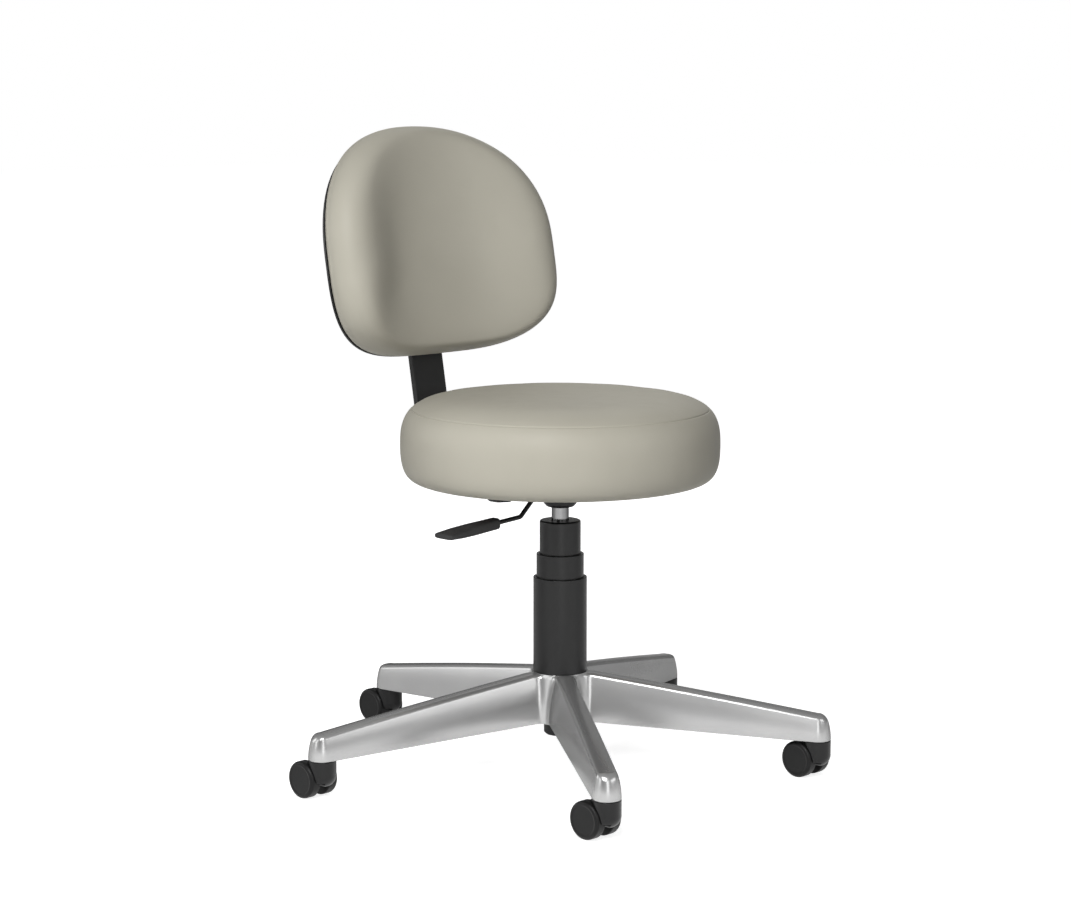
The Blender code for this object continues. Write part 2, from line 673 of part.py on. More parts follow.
def make_sleeves():
    low = OUTER_SLEEVE_BOTTOM_Z
    high = low + SLEEVE_LENGTH
    r = OUTER_SLEEVE_RADIUS
    bore = r - SLEEVE_WALL
    lip = MIDDLE_SLEEVE_RADIUS + RUNNING_GAP
    profile = [(r - SLEEVE_EDGE, high), (r, high - SLEEVE_EDGE), (r, low), (bore, low)]
    profile += [(bore, high - SLEEVE_LIP), (lip, high - SLEEVE_LIP), (lip, high)]
    turned("outer_sleeve", profile, SLEEVE_STEPS, BLACK_PLASTIC, STOOL)

    low += MIDDLE_SLEEVE_RISE
    high += MIDDLE_SLEEVE_RISE
    r = MIDDLE_SLEEVE_RADIUS
    bore = r - SLEEVE_WALL
    lip = INNER_SLEEVE_RADIUS + RUNNING_GAP
    flange = r + SLEEVE_FLANGE
    foot = [(r, low + SLEEVE_LIP), (flange, low + SLEEVE_LIP), (flange, low), (bore, low)]
    profile = [(r - SLEEVE_EDGE, high), (r, high - SLEEVE_EDGE)] + foot
    profile += [(bore, high - SLEEVE_LIP), (lip, high - SLEEVE_LIP), (lip, high)]
    turned("middle_sleeve", profile, SLEEVE_STEPS, BLACK_PLASTIC, STOOL)

    low += INNER_SLEEVE_RISE - MIDDLE_SLEEVE_RISE
    high += INNER_SLEEVE_RISE - MIDDLE_SLEEVE_RISE
    r = INNER_SLEEVE_RADIUS
    bore = r - SLEEVE_WALL
    lip = PRESSURE_TUBE_RADIUS + RUNNING_GAP
    flange = r + SLEEVE_FLANGE
    foot = [(r, low + SLEEVE_LIP), (flange, low + SLEEVE_LIP), (flange, low), (bore, low)]
    edge = INNER_SLEEVE_ROUNDING
    profile = arc((r - edge, high - edge), edge, math.pi / 2, 0, 4) + foot
    profile += [(bore, high - edge), (bore - edge + SLEEVE_EDGE, high - SLEEVE_LIP)]
    profile += [(lip, high - SLEEVE_LIP), (lip, high)]
    turned("inner_sleeve", profile, SLEEVE_STEPS, BLACK_PLASTIC, STOOL)


def make_gas_spring():
    r = STANDING_TUBE_RADIUS
    bore = r - STANDING_TUBE_WALL
    rod_hole = PISTON_ROD_RADIUS + RUNNING_GAP
    tail = r - STANDING_TUBE_TAPER * (HUB_TOP_Z - TUBE_BOTTOM_Z) / HUB_HEIGHT
    profile = [(r, TUBE_TOP_Z), (r, HUB_TOP_Z), (tail, TUBE_BOTTOM_Z + TUBE_END_CHAMFER)]
    profile += [(tail - TUBE_END_CHAMFER, TUBE_BOTTOM_Z)]
    profile += [(rod_hole, TUBE_BOTTOM_Z), (rod_hole, END_PLATE_TOP_Z)]
    profile += [(bore - STANDING_TUBE_TAPER, END_PLATE_TOP_Z), (bore - STANDING_TUBE_TAPER, HUB_UNDERSIDE_Z)]
    profile += [(bore, HUB_TOP_Z), (bore, TUBE_TOP_Z)]
    turned("standing_tube", profile, SLEEVE_STEPS, BLACK_PAINT, STOOL)

    guide = PRESSURE_TUBE_RADIUS + RUNNING_GAP
    body = bore - REST_GAP
    low = TUBE_TOP_Z - GUIDE_BUSH_LENGTH
    seat = TUBE_TOP_Z + REST_GAP
    high = seat + GUIDE_BUSH_FLANGE
    profile = [(r, high), (r, seat), (body, seat), (body, low), (guide, low), (guide, high)]
    turned("guide_bush", profile, SMALL_STEPS, BUSH, STOOL)

    bearing_low = END_PLATE_TOP_Z + REST_GAP
    bearing_high = bearing_low + BEARING_HEIGHT
    profile = [(BEARING_RADIUS, bearing_high), (BEARING_RADIUS, bearing_low)]
    profile += [(rod_hole, bearing_low), (rod_hole, bearing_high)]
    turned("thrust_bearing", profile, SMALL_STEPS, STEEL, STOOL)

    collar_low = bearing_high + REST_GAP
    collar_high = collar_low + ROD_COLLAR_HEIGHT
    piston_low = END_PLATE_TOP_Z + PISTON_ABOVE_END_PLATE
    piston_high = piston_low + PISTON_HEIGHT
    rod_low = TUBE_BOTTOM_Z - ROD_TAIL
    groove_high = TUBE_BOTTOM_Z - REST_GAP
    groove_low = groove_high - CLIP_THICKNESS - 2 * REST_GAP
    neck_top = piston_high + ROD_NECK_RADIUS
    profile = [(0, neck_top), (ROD_NECK_RADIUS, neck_top), (ROD_NECK_RADIUS, piston_low - REST_GAP)]
    profile += [(PISTON_ROD_RADIUS, piston_low - REST_GAP), (PISTON_ROD_RADIUS, collar_high)]
    profile += [(ROD_COLLAR_RADIUS, collar_high), (ROD_COLLAR_RADIUS, collar_low)]
    profile += [(PISTON_ROD_RADIUS, collar_low), (PISTON_ROD_RADIUS, groove_high)]
    profile += [(ROD_NECK_RADIUS, groove_high), (ROD_NECK_RADIUS, groove_low)]
    profile += [(PISTON_ROD_RADIUS, groove_low), (PISTON_ROD_RADIUS, rod_low), (0, rod_low)]
    turned("piston_rod", profile, PIN_STEPS, STEEL, STOOL, ring=False)

    r = PRESSURE_TUBE_RADIUS - PRESSURE_TUBE_WALL - RUNNING_GAP
    hole = ROD_NECK_RADIUS + REST_GAP
    profile = [(r, piston_high), (r, piston_low), (hole, piston_low), (hole, piston_high)]
    turned("piston", profile, SMALL_STEPS, BUSH, STOOL)

    make_clip(groove_low + REST_GAP + CLIP_THICKNESS / 2, hole)

    high = PRESSURE_TUBE_TOP_Z
    low = high - PRESSURE_TUBE_LENGTH
    r = PRESSURE_TUBE_RADIUS
    bore = r - PRESSURE_TUBE_WALL
    pin_hole = RELEASE_PIN_RADIUS + RUNNING_GAP
    profile = [(r - SLEEVE_EDGE, high), (r, high - SLEEVE_EDGE), (r, low), (rod_hole, low)]
    profile += [(rod_hole, low + TUBE_GLAND), (bore, low + TUBE_GLAND), (bore, high - TUBE_TOP_WALL)]
    profile += [(pin_hole, high - TUBE_TOP_WALL), (pin_hole, high)]
    turned("pressure_tube", profile, SMALL_STEPS, CHROME, STOOL)

    pin_high = LEVER_Z - LEVER_ROD_RADIUS - REST_GAP
    pin_low = pin_high - RELEASE_PIN_LENGTH
    profile = [(0, pin_high), (RELEASE_PIN_RADIUS, pin_high), (RELEASE_PIN_RADIUS, pin_low), (0, pin_low)]
    turned("release_pin", profile, PIN_STEPS, STEEL, STOOL, ring=False)


def make_clip(middle_z, hole):
    """A horseshoe clip in the groove at the rod's lower end, open towards the back."""
    mouth = math.asin(hole / CLIP_RADIUS)
    outline = arc((0, 0), CLIP_RADIUS, math.pi / 2 + mouth, 2.5 * math.pi - mouth, 17)
    outline += arc((0, 0), hole, 2 * math.pi, math.pi, 9)
    extruded("retaining_clip", outline, CLIP_THICKNESS, STEEL, STOOL, location=(0, 0, middle_z))


# Seat: cushion, board, plate and lever

CUSHION_UPPER_EXPONENTS = (10.1, 2.38)
CUSHION_LOWER_EXPONENTS = (20.0, 2.88)


def seat_side(angle, exponents, rise):
    """A point of the cushion's side, from the equator (angle 0) to the crown or the underside."""
    radius = SEAT_RADIUS * math.cos(angle) ** (2 / exponents[0])
    return radius, rise * math.sin(angle) ** (2 / exponents[1])


def make_seat():
    equator = SEAT_BOTTOM_Z + SEAT_EQUATOR_RISE
    crown = equator + SEAT_CROWN_RISE
    profile = [(0, crown)]
    seam_low = SEAT_SEAM_ANGLE - SEAM_HALF_WIDTH_ANGLE
    seam_high = SEAT_SEAM_ANGLE + SEAM_HALF_WIDTH_ANGLE
    upper = [math.radians(a) for a in (89.6, 86, 77, 66, 54)] + [seam_high, SEAT_SEAM_ANGLE, seam_low]
    upper += [math.radians(a) for a in (30, 20, 10)]
    for angle in upper:
        radius, rise = seat_side(angle, CUSHION_UPPER_EXPONENTS, SEAT_CROWN_RISE)
        if angle == SEAT_SEAM_ANGLE:
            radius -= SEAM_DEPTH
            rise -= SEAM_DEPTH / 2
        profile.append((radius, equator + rise))
    profile.append((SEAT_RADIUS, equator))
    for angle in (math.radians(a) for a in (10, 24, 40, 55, 67)):
        radius, drop = seat_side(angle, CUSHION_LOWER_EXPONENTS, SEAT_EQUATOR_RISE)
        profile.append((radius, equator - drop))
    recess = SEAT_BOARD_RADIUS + REST_GAP
    low = PLATE_TOP_Z + REST_GAP
    high = low + SEAT_BOARD_THICKNESS
    profile += [(recess, SEAT_BOTTOM_Z), (recess, high + REST_GAP), (0, high + REST_GAP)]
    cushion = turned("seat_cushion", profile, SEAT_STEPS, UPHOLSTERY, STOOL, ring=False)
    cushion.modifiers["turn"].use_smooth_shade = True

    profile = [(0, high), (SEAT_BOARD_RADIUS, high), (SEAT_BOARD_RADIUS, low), (0, low)]
    turned("seat_board", profile, SEAT_STEPS, PLYWOOD, STOOL, ring=False)


def make_seat_plate():
    outline = rounded_rectangle(PLATE_WIDTH / 2, PLATE_FRONT, PLATE_REAR, PLATE_CORNER_RADIUS, 5)
    middle = (PLATE_TOP_Z + PLATE_BOTTOM_Z) / 2
    plate = extruded("seat_plate", outline, PLATE_THICKNESS, BLACK_PAINT, STOOL, location=(0, 0, middle))

    # Socket: a bowl below the plate, with a grip for the tube and a cavity for the lever's nose above it
    grip = PRESSURE_TUBE_RADIUS + REST_GAP
    low = SOCKET_BOTTOM_Z
    bulge = SOCKET_RADIUS - grip - SOCKET_LIP
    profile = [(0, middle), (SOCKET_RADIUS, middle), (SOCKET_RADIUS, low + SOCKET_ROUNDING)]
    for i in range(1, 4):
        angle = i * math.pi / 6
        radius = SOCKET_RADIUS - bulge * (1 - math.cos(angle))
        profile.append((radius, low + SOCKET_ROUNDING * (1 - math.sin(angle))))
    fuse(plate, turned("socket_bowl", profile + [(0, low)], SLEEVE_STEPS, None, STOOL, ring=False))

    # Ears for the lever's pivot pin
    gap = LEVER_BARREL_LENGTH / 2 + RUNNING_GAP
    ear_low = LEVER_Z - LEVER_PIN_RADIUS - EAR_THICKNESS
    for side, sign in (("front", -1), ("rear", 1)):
        near, far = sorted((sign * gap, sign * (gap + EAR_THICKNESS)))
        reach = -LEVER_PIVOT_REACH
        corner_low = (reach - EAR_LENGTH / 2, near, ear_low)
        corner_high = (reach + EAR_LENGTH / 2, far, middle)
        fuse(plate, box(f"lever_ear_{side}", corner_low, corner_high, None, STOOL))

    shelf = PRESSURE_TUBE_TOP_Z + REST_GAP
    above = PLATE_TOP_Z + PLATE_THICKNESS
    below = low - PLATE_THICKNESS
    profile = [(0, above), (LEVER_CAVITY_RADIUS, above), (LEVER_CAVITY_RADIUS, shelf), (grip, shelf)]
    profile += [(grip, below), (0, below)]
    cut(plate, turned("socket_bore", profile, SMALL_STEPS, None, STOOL, ring=False))

    # Window in the bowl for the lever, with room for its travel
    half = LEVER_ROD_RADIUS + 2 * RUNNING_GAP
    corner_low = (-SOCKET_RADIUS - PLATE_THICKNESS, -half, LEVER_Z - LEVER_ROD_RADIUS * 1.6)
    corner_high = (0, half, PLATE_BOTTOM_Z)
    cut(plate, box("lever_window", corner_low, corner_high, None, STOOL))

    hole = LEVER_PIN_RADIUS + REST_GAP
    reach = gap + 2 * EAR_THICKNESS
    profile = [(0, reach), (hole, reach), (hole, -reach), (0, -reach)]
    across = (math.pi / 2, 0, 0)
    at = (-LEVER_PIVOT_REACH, 0, LEVER_Z)
    cut(plate, turned("ear_holes", profile, PIN_STEPS, None, STOOL, at, across, ring=False))

    half = gap + EAR_THICKNESS
    profile = [(0, half), (LEVER_PIN_RADIUS, half), (LEVER_PIN_RADIUS, -half), (0, -half)]
    turned("lever_pin", profile, PIN_STEPS, STEEL, STOOL, at, across, ring=False)


def make_lever():
    """Rod and grip about an empty on the pivot; the grip is at the sitter's right, along -X."""
    pivot = make_empty("lever_pivot", STOOL, (-LEVER_PIVOT_REACH, 0, LEVER_Z))
    low = -LEVER_DROP
    elbow = LEVER_PIVOT_REACH - LEVER_ELBOW_REACH
    foot = elbow - LEVER_DROP_RUN
    grip_x = LEVER_PIVOT_REACH - GRIP_START
    end = grip_x - GRIP_SOCKET_DEPTH
    fall = (foot - end) * math.tan(GRIP_SLOPE)
    corners = [
        (LEVER_PIVOT_REACH + LEVER_NOSE, 0, 0),
        (elbow, 0, 0),
        (foot, 0, low),
        (end, 0, low - fall),
    ]
    path = rounded_path(corners, LEVER_BEND_RADIUS, 5)
    lever = rod("lever_rod", path, LEVER_ROD_RADIUS, BLACK_PAINT, pivot)
    half = LEVER_BARREL_LENGTH / 2
    across = (math.pi / 2, 0, 0)
    profile = [(0, half), (LEVER_BARREL_RADIUS, half), (LEVER_BARREL_RADIUS, -half), (0, -half)]
    fuse(lever, turned("lever_barrel", profile, PIN_STEPS, None, pivot, (0, 0, 0), across, ring=False))
    hole = LEVER_PIN_RADIUS + RUNNING_GAP
    profile = [(0, 2 * half), (hole, 2 * half), (hole, -2 * half), (0, -2 * half)]
    cut(lever, turned("lever_hole", profile, PIN_STEPS, None, pivot, (0, 0, 0), across, ring=False))

    # Paddle along local +X: round at the neck, spreading and thinning towards the tip
    neck = GRIP_NECK_HALF_WIDTH
    wide = GRIP_HALF_WIDTH
    thick = GRIP_THICKNESS / 2
    thin = GRIP_TIP_THICKNESS / 2
    stations = [
        (0.0, neck * 0.70, thick * 0.85),
        (0.03, neck, thick),
        (0.25, neck * 1.15, thick),
        (0.50, (neck + wide) / 2, thick * 0.95),
        (0.75, wide * 0.92, (thick + thin) / 2),
        (0.94, wide, thin),
        (0.985, wide * 0.95, thin * 0.9),
        (1.0, wide * 0.86, thin * 0.6),
    ]
    rings = []
    for share, half_width, half_thick in stations:
        ring = []
        for i in range(GRIP_SECTION_POINTS):
            angle = 2 * math.pi * (i + 0.5) / GRIP_SECTION_POINTS
            c, s = math.cos(angle), math.sin(angle)
            across = half_width * math.copysign(abs(c) ** 0.5, c)
            ring.append((GRIP_LENGTH * share, across, half_thick * math.copysign(abs(s) ** 0.5, s)))
        rings.append(ring)
    at = (grip_x, 0, low - (foot - grip_x) * math.tan(GRIP_SLOPE))
    grip = solid_of("lever_grip", loft(rings), BLACK_PLASTIC, pivot, at, (0, GRIP_SLOPE, math.pi))
    hole = LEVER_ROD_RADIUS + REST_GAP
    depth = GRIP_SOCKET_DEPTH / math.cos(GRIP_SLOPE) + REST_GAP
    profile = [(0, depth), (hole, depth), (hole, -hole), (0, -hole)]
    inward = (0, -math.pi / 2 - GRIP_SLOPE, 0)
    cut(grip, turned("grip_socket", profile, PIN_STEPS, None, pivot, at, inward, ring=False))


# Back bar, bracket and knobs

BRACKET_SLOT_WIDTH = BAR_WIDTH + 2 * RUNNING_GAP


def make_bar():
    """A flat bar bent up behind the seat, drawn in side view (y, z) and extruded across."""
    middle_y = BAR_REAR + BAR_THICKNESS / 2 / math.cos(BAR_LEAN)
    top_y = middle_y + BAR_UPRIGHT_LENGTH * math.sin(BAR_LEAN)
    top_z = LEG_MIDDLE_Z + BAR_UPRIGHT_LENGTH * math.cos(BAR_LEAN)
    corners = [(BAR_LEG_FRONT, LEG_MIDDLE_Z, 0), (middle_y, LEG_MIDDLE_Z, 0), (top_y, top_z, 0)]
    path = rounded_path(corners, BAR_BEND_RADIUS, 9)
    left, right = [], []
    for i, point in enumerate(path):
        before = path[max(i - 1, 0)]
        after = path[min(i + 1, len(path) - 1)]
        along = (after - before).normalized()
        across = Vector((-along.y, along.x, 0)) * BAR_THICKNESS / 2
        left.append(point + across)
        right.append(point - across)
    outline = [(p.x, p.y) for p in right] + [(p.x, p.y) for p in reversed(left)]
    upright = (math.pi / 2, 0, math.pi / 2)
    bar = extruded("back_bar", outline, BAR_WIDTH, BLACK_PAINT, STOOL, rotation=upright)
    bevel = bar.modifiers.new("soft_edges", "BEVEL")
    bevel.width = BAR_THICKNESS * 0.12
    bevel.segments = 1
    bevel.limit_method = "ANGLE"
    bevel.angle_limit = math.radians(60)


def make_bracket():
    """A channel under the seat plate round the bar's leg, with a threaded boss for the depth knob."""
    half = BRACKET_SLOT_WIDTH / 2
    top = PLATE_BOTTOM_Z - REST_GAP
    floor = BRACKET_BOTTOM_Z + BRACKET_WALL
    outer = half + BRACKET_WALL
    outline = [(-outer, BRACKET_BOTTOM_Z), (outer, BRACKET_BOTTOM_Z), (outer, top), (half, top)]
    outline += [(half, floor), (-half, floor), (-half, top), (-outer, top)]
    at = (0, BRACKET_FRONT + BRACKET_LENGTH / 2, 0)
    bracket = extruded("bar_bracket", outline, BRACKET_LENGTH, BLACK_PAINT, STOOL, at, (math.pi / 2, 0, 0))
    at = (0, DEPTH_KNOB_Y, BRACKET_BOTTOM_Z)
    r = KNOB_BOSS_RADIUS
    sunk = BRACKET_WALL / 2
    profile = [(0, sunk), (r, sunk), (r, -DEPTH_BOSS_HEIGHT), (0, -DEPTH_BOSS_HEIGHT)]
    fuse(bracket, turned("depth_boss", profile, SMALL_STEPS, None, STOOL, at, ring=False))
    hole = KNOB_STUD_RADIUS + RUNNING_GAP
    deep = DEPTH_BOSS_HEIGHT + BRACKET_WALL
    profile = [(0, 2 * BRACKET_WALL), (hole, 2 * BRACKET_WALL), (hole, -deep), (0, -deep)]
    cut(bracket, turned("depth_hole", profile, PIN_STEPS, None, STOOL, at, ring=False))


def make_knob(name, stud_length, parent, location, rotation):
    """A lobed hand knob: head along local -Z from its origin, threaded stud along +Z."""
    outline = []
    count = KNOB_LOBES * 6
    for i in range(count):
        angle = 2 * math.pi * i / count
        radius = KNOB_RADIUS - KNOB_LOBE_DEPTH * (1 + math.cos(KNOB_LOBES * angle)) / 2
        outline.append((radius * math.cos(angle), radius * math.sin(angle)))
    rings = []
    edge = KNOB_EDGE
    for inset, depth in ((edge, 0), (0, edge), (0, KNOB_HEIGHT - edge), (edge, KNOB_HEIGHT)):
        scale = 1 - inset / KNOB_RADIUS
        rings.append([(x * scale, y * scale, -depth) for x, y in outline])
    knob = solid_of(name, loft(rings), BLACK_PLASTIC, parent, location, rotation)
    r = KNOB_STUD_RADIUS
    profile = [(0, stud_length), (r, stud_length), (r, -KNOB_EDGE), (0, -KNOB_EDGE)]
    fuse(knob, turned(name + "_stud", profile, PIN_STEPS, None, parent, location, rotation, ring=False))


# Backrest: modelled upright about an empty on the bar, which leans it back with the bar

SLEEVE_FRONT = -(RUNNING_GAP + SLEEVE_PLATE_WALL)
SLEEVE_REAR = BAR_THICKNESS + RUNNING_GAP + SLEEVE_PLATE_WALL
SHELL_REAR = -SLEEVE_FRONT + REST_GAP
PAD_REAR = SHELL_REAR + BACK_SHELL_THICKNESS + GLUE_GAP


def back_rise(across, exponent):
    """Share of the full height at a share of the half width, along a rounded outline."""
    return (1 - abs(across) ** exponent) ** (1 / exponent)


def back_outline():
    """The back's outline (across, up), each point above the widest line over one below it."""
    half = BACK_OUTLINE_POINTS // 2
    reach = [math.cos(math.pi * i / half) for i in range(half + 1)]
    reach = [math.copysign(abs(c) ** 0.75, c) for c in reach]
    above = [(c, BACK_UPPER_HEIGHT * back_rise(c, BACK_UPPER_EXPONENT)) for c in reach]
    below = [(c, -BACK_LOWER_HEIGHT * back_rise(c, BACK_LOWER_EXPONENT)) for c in reach]
    return [(c * BACK_WIDTH / 2, up) for c, up in above + below[-2:0:-1]]


def back_ring(inset, forward):
    """The outline drawn in by a distance, lifted forward and wrapped round the sitter."""
    ring = []
    for across, up in back_outline():
        scale = 1 - inset / math.hypot(across, up)
        u, v = across * scale, up * scale
        wrap = BACK_WRAP_RADIUS - math.sqrt(BACK_WRAP_RADIUS ** 2 - u ** 2)
        ring.append((u, -(forward + wrap), v))
    return ring


def back_solid(name, sections, material, parent):
    """Skin back rings given as (inset, forward), closing both ends with upright strips."""
    bm = bmesh.new()
    loops = [[bm.verts.new(co) for co in back_ring(*section)] for section in sections]
    for lower, upper in zip(loops, loops[1:]):
        for i in range(len(lower)):
            j = (i + 1) % len(lower)
            bm.faces.new((lower[i], lower[j], upper[j], upper[i]))
    for loop in (loops[0], loops[-1]):
        half = len(loop) // 2
        bm.faces.new((loop[0], loop[1], loop[-1]))
        bm.faces.new((loop[half - 1], loop[half], loop[half + 1]))
        for i in range(1, half - 1):
            bm.faces.new((loop[i], loop[i + 1], loop[-i - 1], loop[-i]))
    return solid_of(name, bm, material, parent)


def make_back():
    along = BACK_MIDDLE_ALONG_BAR
    spot = (0, BAR_REAR + along * math.sin(BAR_LEAN), LEG_MIDDLE_Z + along * math.cos(BAR_LEAN))
    back = make_empty("back_slide", STOOL, spot, (-BAR_LEAN, 0, 0))

    shell_front = SHELL_REAR + BACK_SHELL_THICKNESS
    inset = BACK_SHELL_INSET
    edge = BACK_SHELL_EDGE
    sections = [
        (inset + edge, SHELL_REAR),
        (inset, SHELL_REAR + edge),
        (inset, shell_front),
    ]
    back_solid("back_shell", sections, BLACK_PLASTIC, back)

    board_front = PAD_REAR + BACK_BOARD_THICKNESS
    inset = BACK_BOARD_INSET
    sections = [
        (inset, PAD_REAR),
        (inset, board_front),
    ]
    back_solid("back_board", sections, PLYWOOD, back)

    recess = BACK_BOARD_INSET - GLUE_GAP
    roof = board_front + GLUE_GAP
    front = PAD_REAR + BACK_PAD_THICKNESS
    edge = BACK_PAD_EDGE
    slant = math.sqrt(0.5)
    sections = [
        (recess, roof),
        (recess, PAD_REAR),
        (BACK_PAD_DRAW_IN, PAD_REAR),
        (BACK_PAD_DRAW_IN / 4, PAD_REAR + BACK_PAD_DRAW_IN),
        (0, (PAD_REAR + front - edge) / 2),
        (0, front - edge),
        (edge * (1 - slant), front - edge * (1 - slant)),
        (edge, front),
        (edge * 2, front + BACK_PAD_HOLLOW / 2),
        (BACK_WIDTH / 4, front),
        (BACK_WIDTH * 0.38, front - BACK_PAD_HOLLOW),
    ]
    back_solid("back_cushion", sections, UPHOLSTERY, back)

    # Sleeve round the bar, carrying the back, with a threaded boss for the height knob
    half = BRACKET_SLOT_WIDTH / 2
    outer = half + SLEEVE_PLATE_WALL
    tall = BACK_SLEEVE_LENGTH / 2
    low = (-outer, SLEEVE_FRONT, -tall)
    sleeve = box("back_sleeve", low, (outer, SLEEVE_REAR, tall), BLACK_PAINT, back)
    low = (-half, -RUNNING_GAP, -2 * tall)
    cut(sleeve, box("sleeve_slot", low, (half, BAR_THICKNESS + RUNNING_GAP, 2 * tall), None, back))
    facing = (math.pi / 2, 0, 0)
    at = (0, SLEEVE_REAR, 0)
    r = KNOB_BOSS_RADIUS
    sunk = SLEEVE_PLATE_WALL / 2
    profile = [(0, sunk), (r, sunk), (r, -KNOB_BOSS_HEIGHT), (0, -KNOB_BOSS_HEIGHT)]
    fuse(sleeve, turned("height_boss", profile, SMALL_STEPS, None, back, at, facing, ring=False))
    hole = KNOB_STUD_RADIUS + RUNNING_GAP
    inner = SLEEVE_PLATE_WALL + RUNNING_GAP
    profile = [(0, inner), (hole, inner), (hole, -2 * KNOB_BOSS_HEIGHT), (0, -2 * KNOB_BOSS_HEIGHT)]
    cut(sleeve, turned("height_hole", profile, PIN_STEPS, None, back, at, facing, ring=False))
    stud = KNOB_BOSS_HEIGHT + REST_GAP + SLEEVE_PLATE_WALL
    at = (0, SLEEVE_REAR + KNOB_BOSS_HEIGHT + REST_GAP, 0)
    make_knob("height_knob", stud, back, at, facing)


def make_stool():
    make_base()
    for number, turn in enumerate(ARM_ANGLES, start=1):
        make_caster(number, turn)
    make_sleeves()
    make_gas_spring()
    make_seat()
    make_seat_plate()
    make_lever()
    make_bar()
    make_bracket()
    stud = DEPTH_BOSS_HEIGHT + REST_GAP + BRACKET_WALL
    at = (0, DEPTH_KNOB_Y, BRACKET_BOTTOM_Z - DEPTH_BOSS_HEIGHT - REST_GAP)
    make_knob("depth_knob", stud, STOOL, at, (0, 0, 0))
    make_back()
    bpy.context.view_layer.update()


make_stool()
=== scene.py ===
"""Looks of a rolling stool with a backrest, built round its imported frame.

Round walls, cast fillets, padding and finishes are made here; every place comes from the frame.
Lengths are in metres, +Z is up and the sitter faces -Y.
"""
import json
import math

import bmesh
import bpy
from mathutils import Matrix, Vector, noise


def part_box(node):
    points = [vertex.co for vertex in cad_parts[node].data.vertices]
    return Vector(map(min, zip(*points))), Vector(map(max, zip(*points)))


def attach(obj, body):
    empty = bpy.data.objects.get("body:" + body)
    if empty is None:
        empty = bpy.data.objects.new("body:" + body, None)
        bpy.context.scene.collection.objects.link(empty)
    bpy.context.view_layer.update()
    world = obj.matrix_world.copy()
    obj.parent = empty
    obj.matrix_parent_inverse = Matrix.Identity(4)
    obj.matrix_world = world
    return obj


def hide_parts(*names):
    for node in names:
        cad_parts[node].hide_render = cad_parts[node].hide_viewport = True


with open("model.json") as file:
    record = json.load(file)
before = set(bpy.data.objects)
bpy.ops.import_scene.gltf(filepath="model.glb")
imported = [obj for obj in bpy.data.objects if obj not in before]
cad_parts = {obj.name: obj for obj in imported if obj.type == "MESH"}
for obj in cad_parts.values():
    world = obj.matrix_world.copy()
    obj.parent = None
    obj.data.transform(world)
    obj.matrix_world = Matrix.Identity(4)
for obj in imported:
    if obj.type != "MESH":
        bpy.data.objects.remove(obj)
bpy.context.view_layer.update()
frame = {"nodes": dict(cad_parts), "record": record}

GAP = 0.0003  # between pieces that rest or run on each other
WELD = 0.000002  # points closer than this are joined
OVERCUT = 0.001  # how far a cutting tool reaches past what it cuts
TOOL_REACH = 0.01  # the same for a bore's tool
ROUND = 96  # facets of a turned piece

COLUMN_Y = sum(corner.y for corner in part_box("outer_sleeve")) / 2
COLUMN = Vector((0, COLUMN_Y, 0))

# Five-arm base, measured from the column's axis
ARMS = 5
ARM_PITCH = 2 * math.pi / ARMS
ARM_TURNS = [math.pi / 2 + k * ARM_PITCH for k in range(ARMS)]
STEM_CIRCLE = 0.3298
TIP_RADIUS = 0.0175
ROOT_HALF_WIDTH = 0.0205
TIP_LOW = 0.0490
TIP_HIGH = 0.0825
HUB_LOW = 0.0650
HUB_HIGH = 0.1275
HUB_RADIUS = 0.0352
HUB_BLEND = 0.003  # how softly the arms run into the hub's round wall
CROTCH_FILLET = 0.0115
POCKET_DRAFT = math.radians(3)
ARM_LEAN = (math.radians(0.5), math.radians(16))  # of the arm's sides, at their foot and under the edge
ARM_EDGE = 0.0065
TIP_EDGE = 0.0140
ARM_CROWN = math.radians(12)  # slope of the arm's top beside the edge
ARM_BOW = 0.0010  # rise of the arm's ridge halfway along
UNDER_EDGE = 0.0012  # rounding round the foot of the casting
POCKET_ROOF = 0.0125  # metal above the hollows
ARM_WALL = 0.0040
ARM_RIB = 0.0060
POCKET_START = 0.0394
POCKET_END = 0.3023
BORE_TOP = 0.0217
BORE_BOTTOM = 0.0211
SIDE_POINTS = 20
TIP_POINTS = 33
CROTCH_POINTS = 15
SECTION_STEPS = (6, 9, 5)  # up the side, round the edge, over the top

# Casters, measured from the stem's axis
HOOD_TOP = 0.0487
HOOD_LOW = 0.0157
HOOD_ROUNDING = 0.0139
HOOD_WEB = 0.0130
BOSS_RADIUS = 0.0075
TRAIL = 0.0180
WHEEL_RADIUS = 0.0233
WHEEL_WIDTH = 0.0140
WHEEL_INNER = 0.0073
WELL_RADIUS = 0.0243
AXLE_RADIUS = 0.0030
AXLE_BORE = 0.0100
STEM_RADIUS = 0.0050
STEM_TOP = 0.0690
STEM_FOOT = 0.0304

# Column
SLEEVE_RADII = (0.0343, 0.0303, 0.0263)  # outer, middle, inner
SLEEVE_WALL = 0.0020
SLEEVE_LIP = 0.0025
SLEEVE_FLANGE = 0.0017
SLEEVE_STEP = 0.0008
TUBE_RADIUS = 0.0110

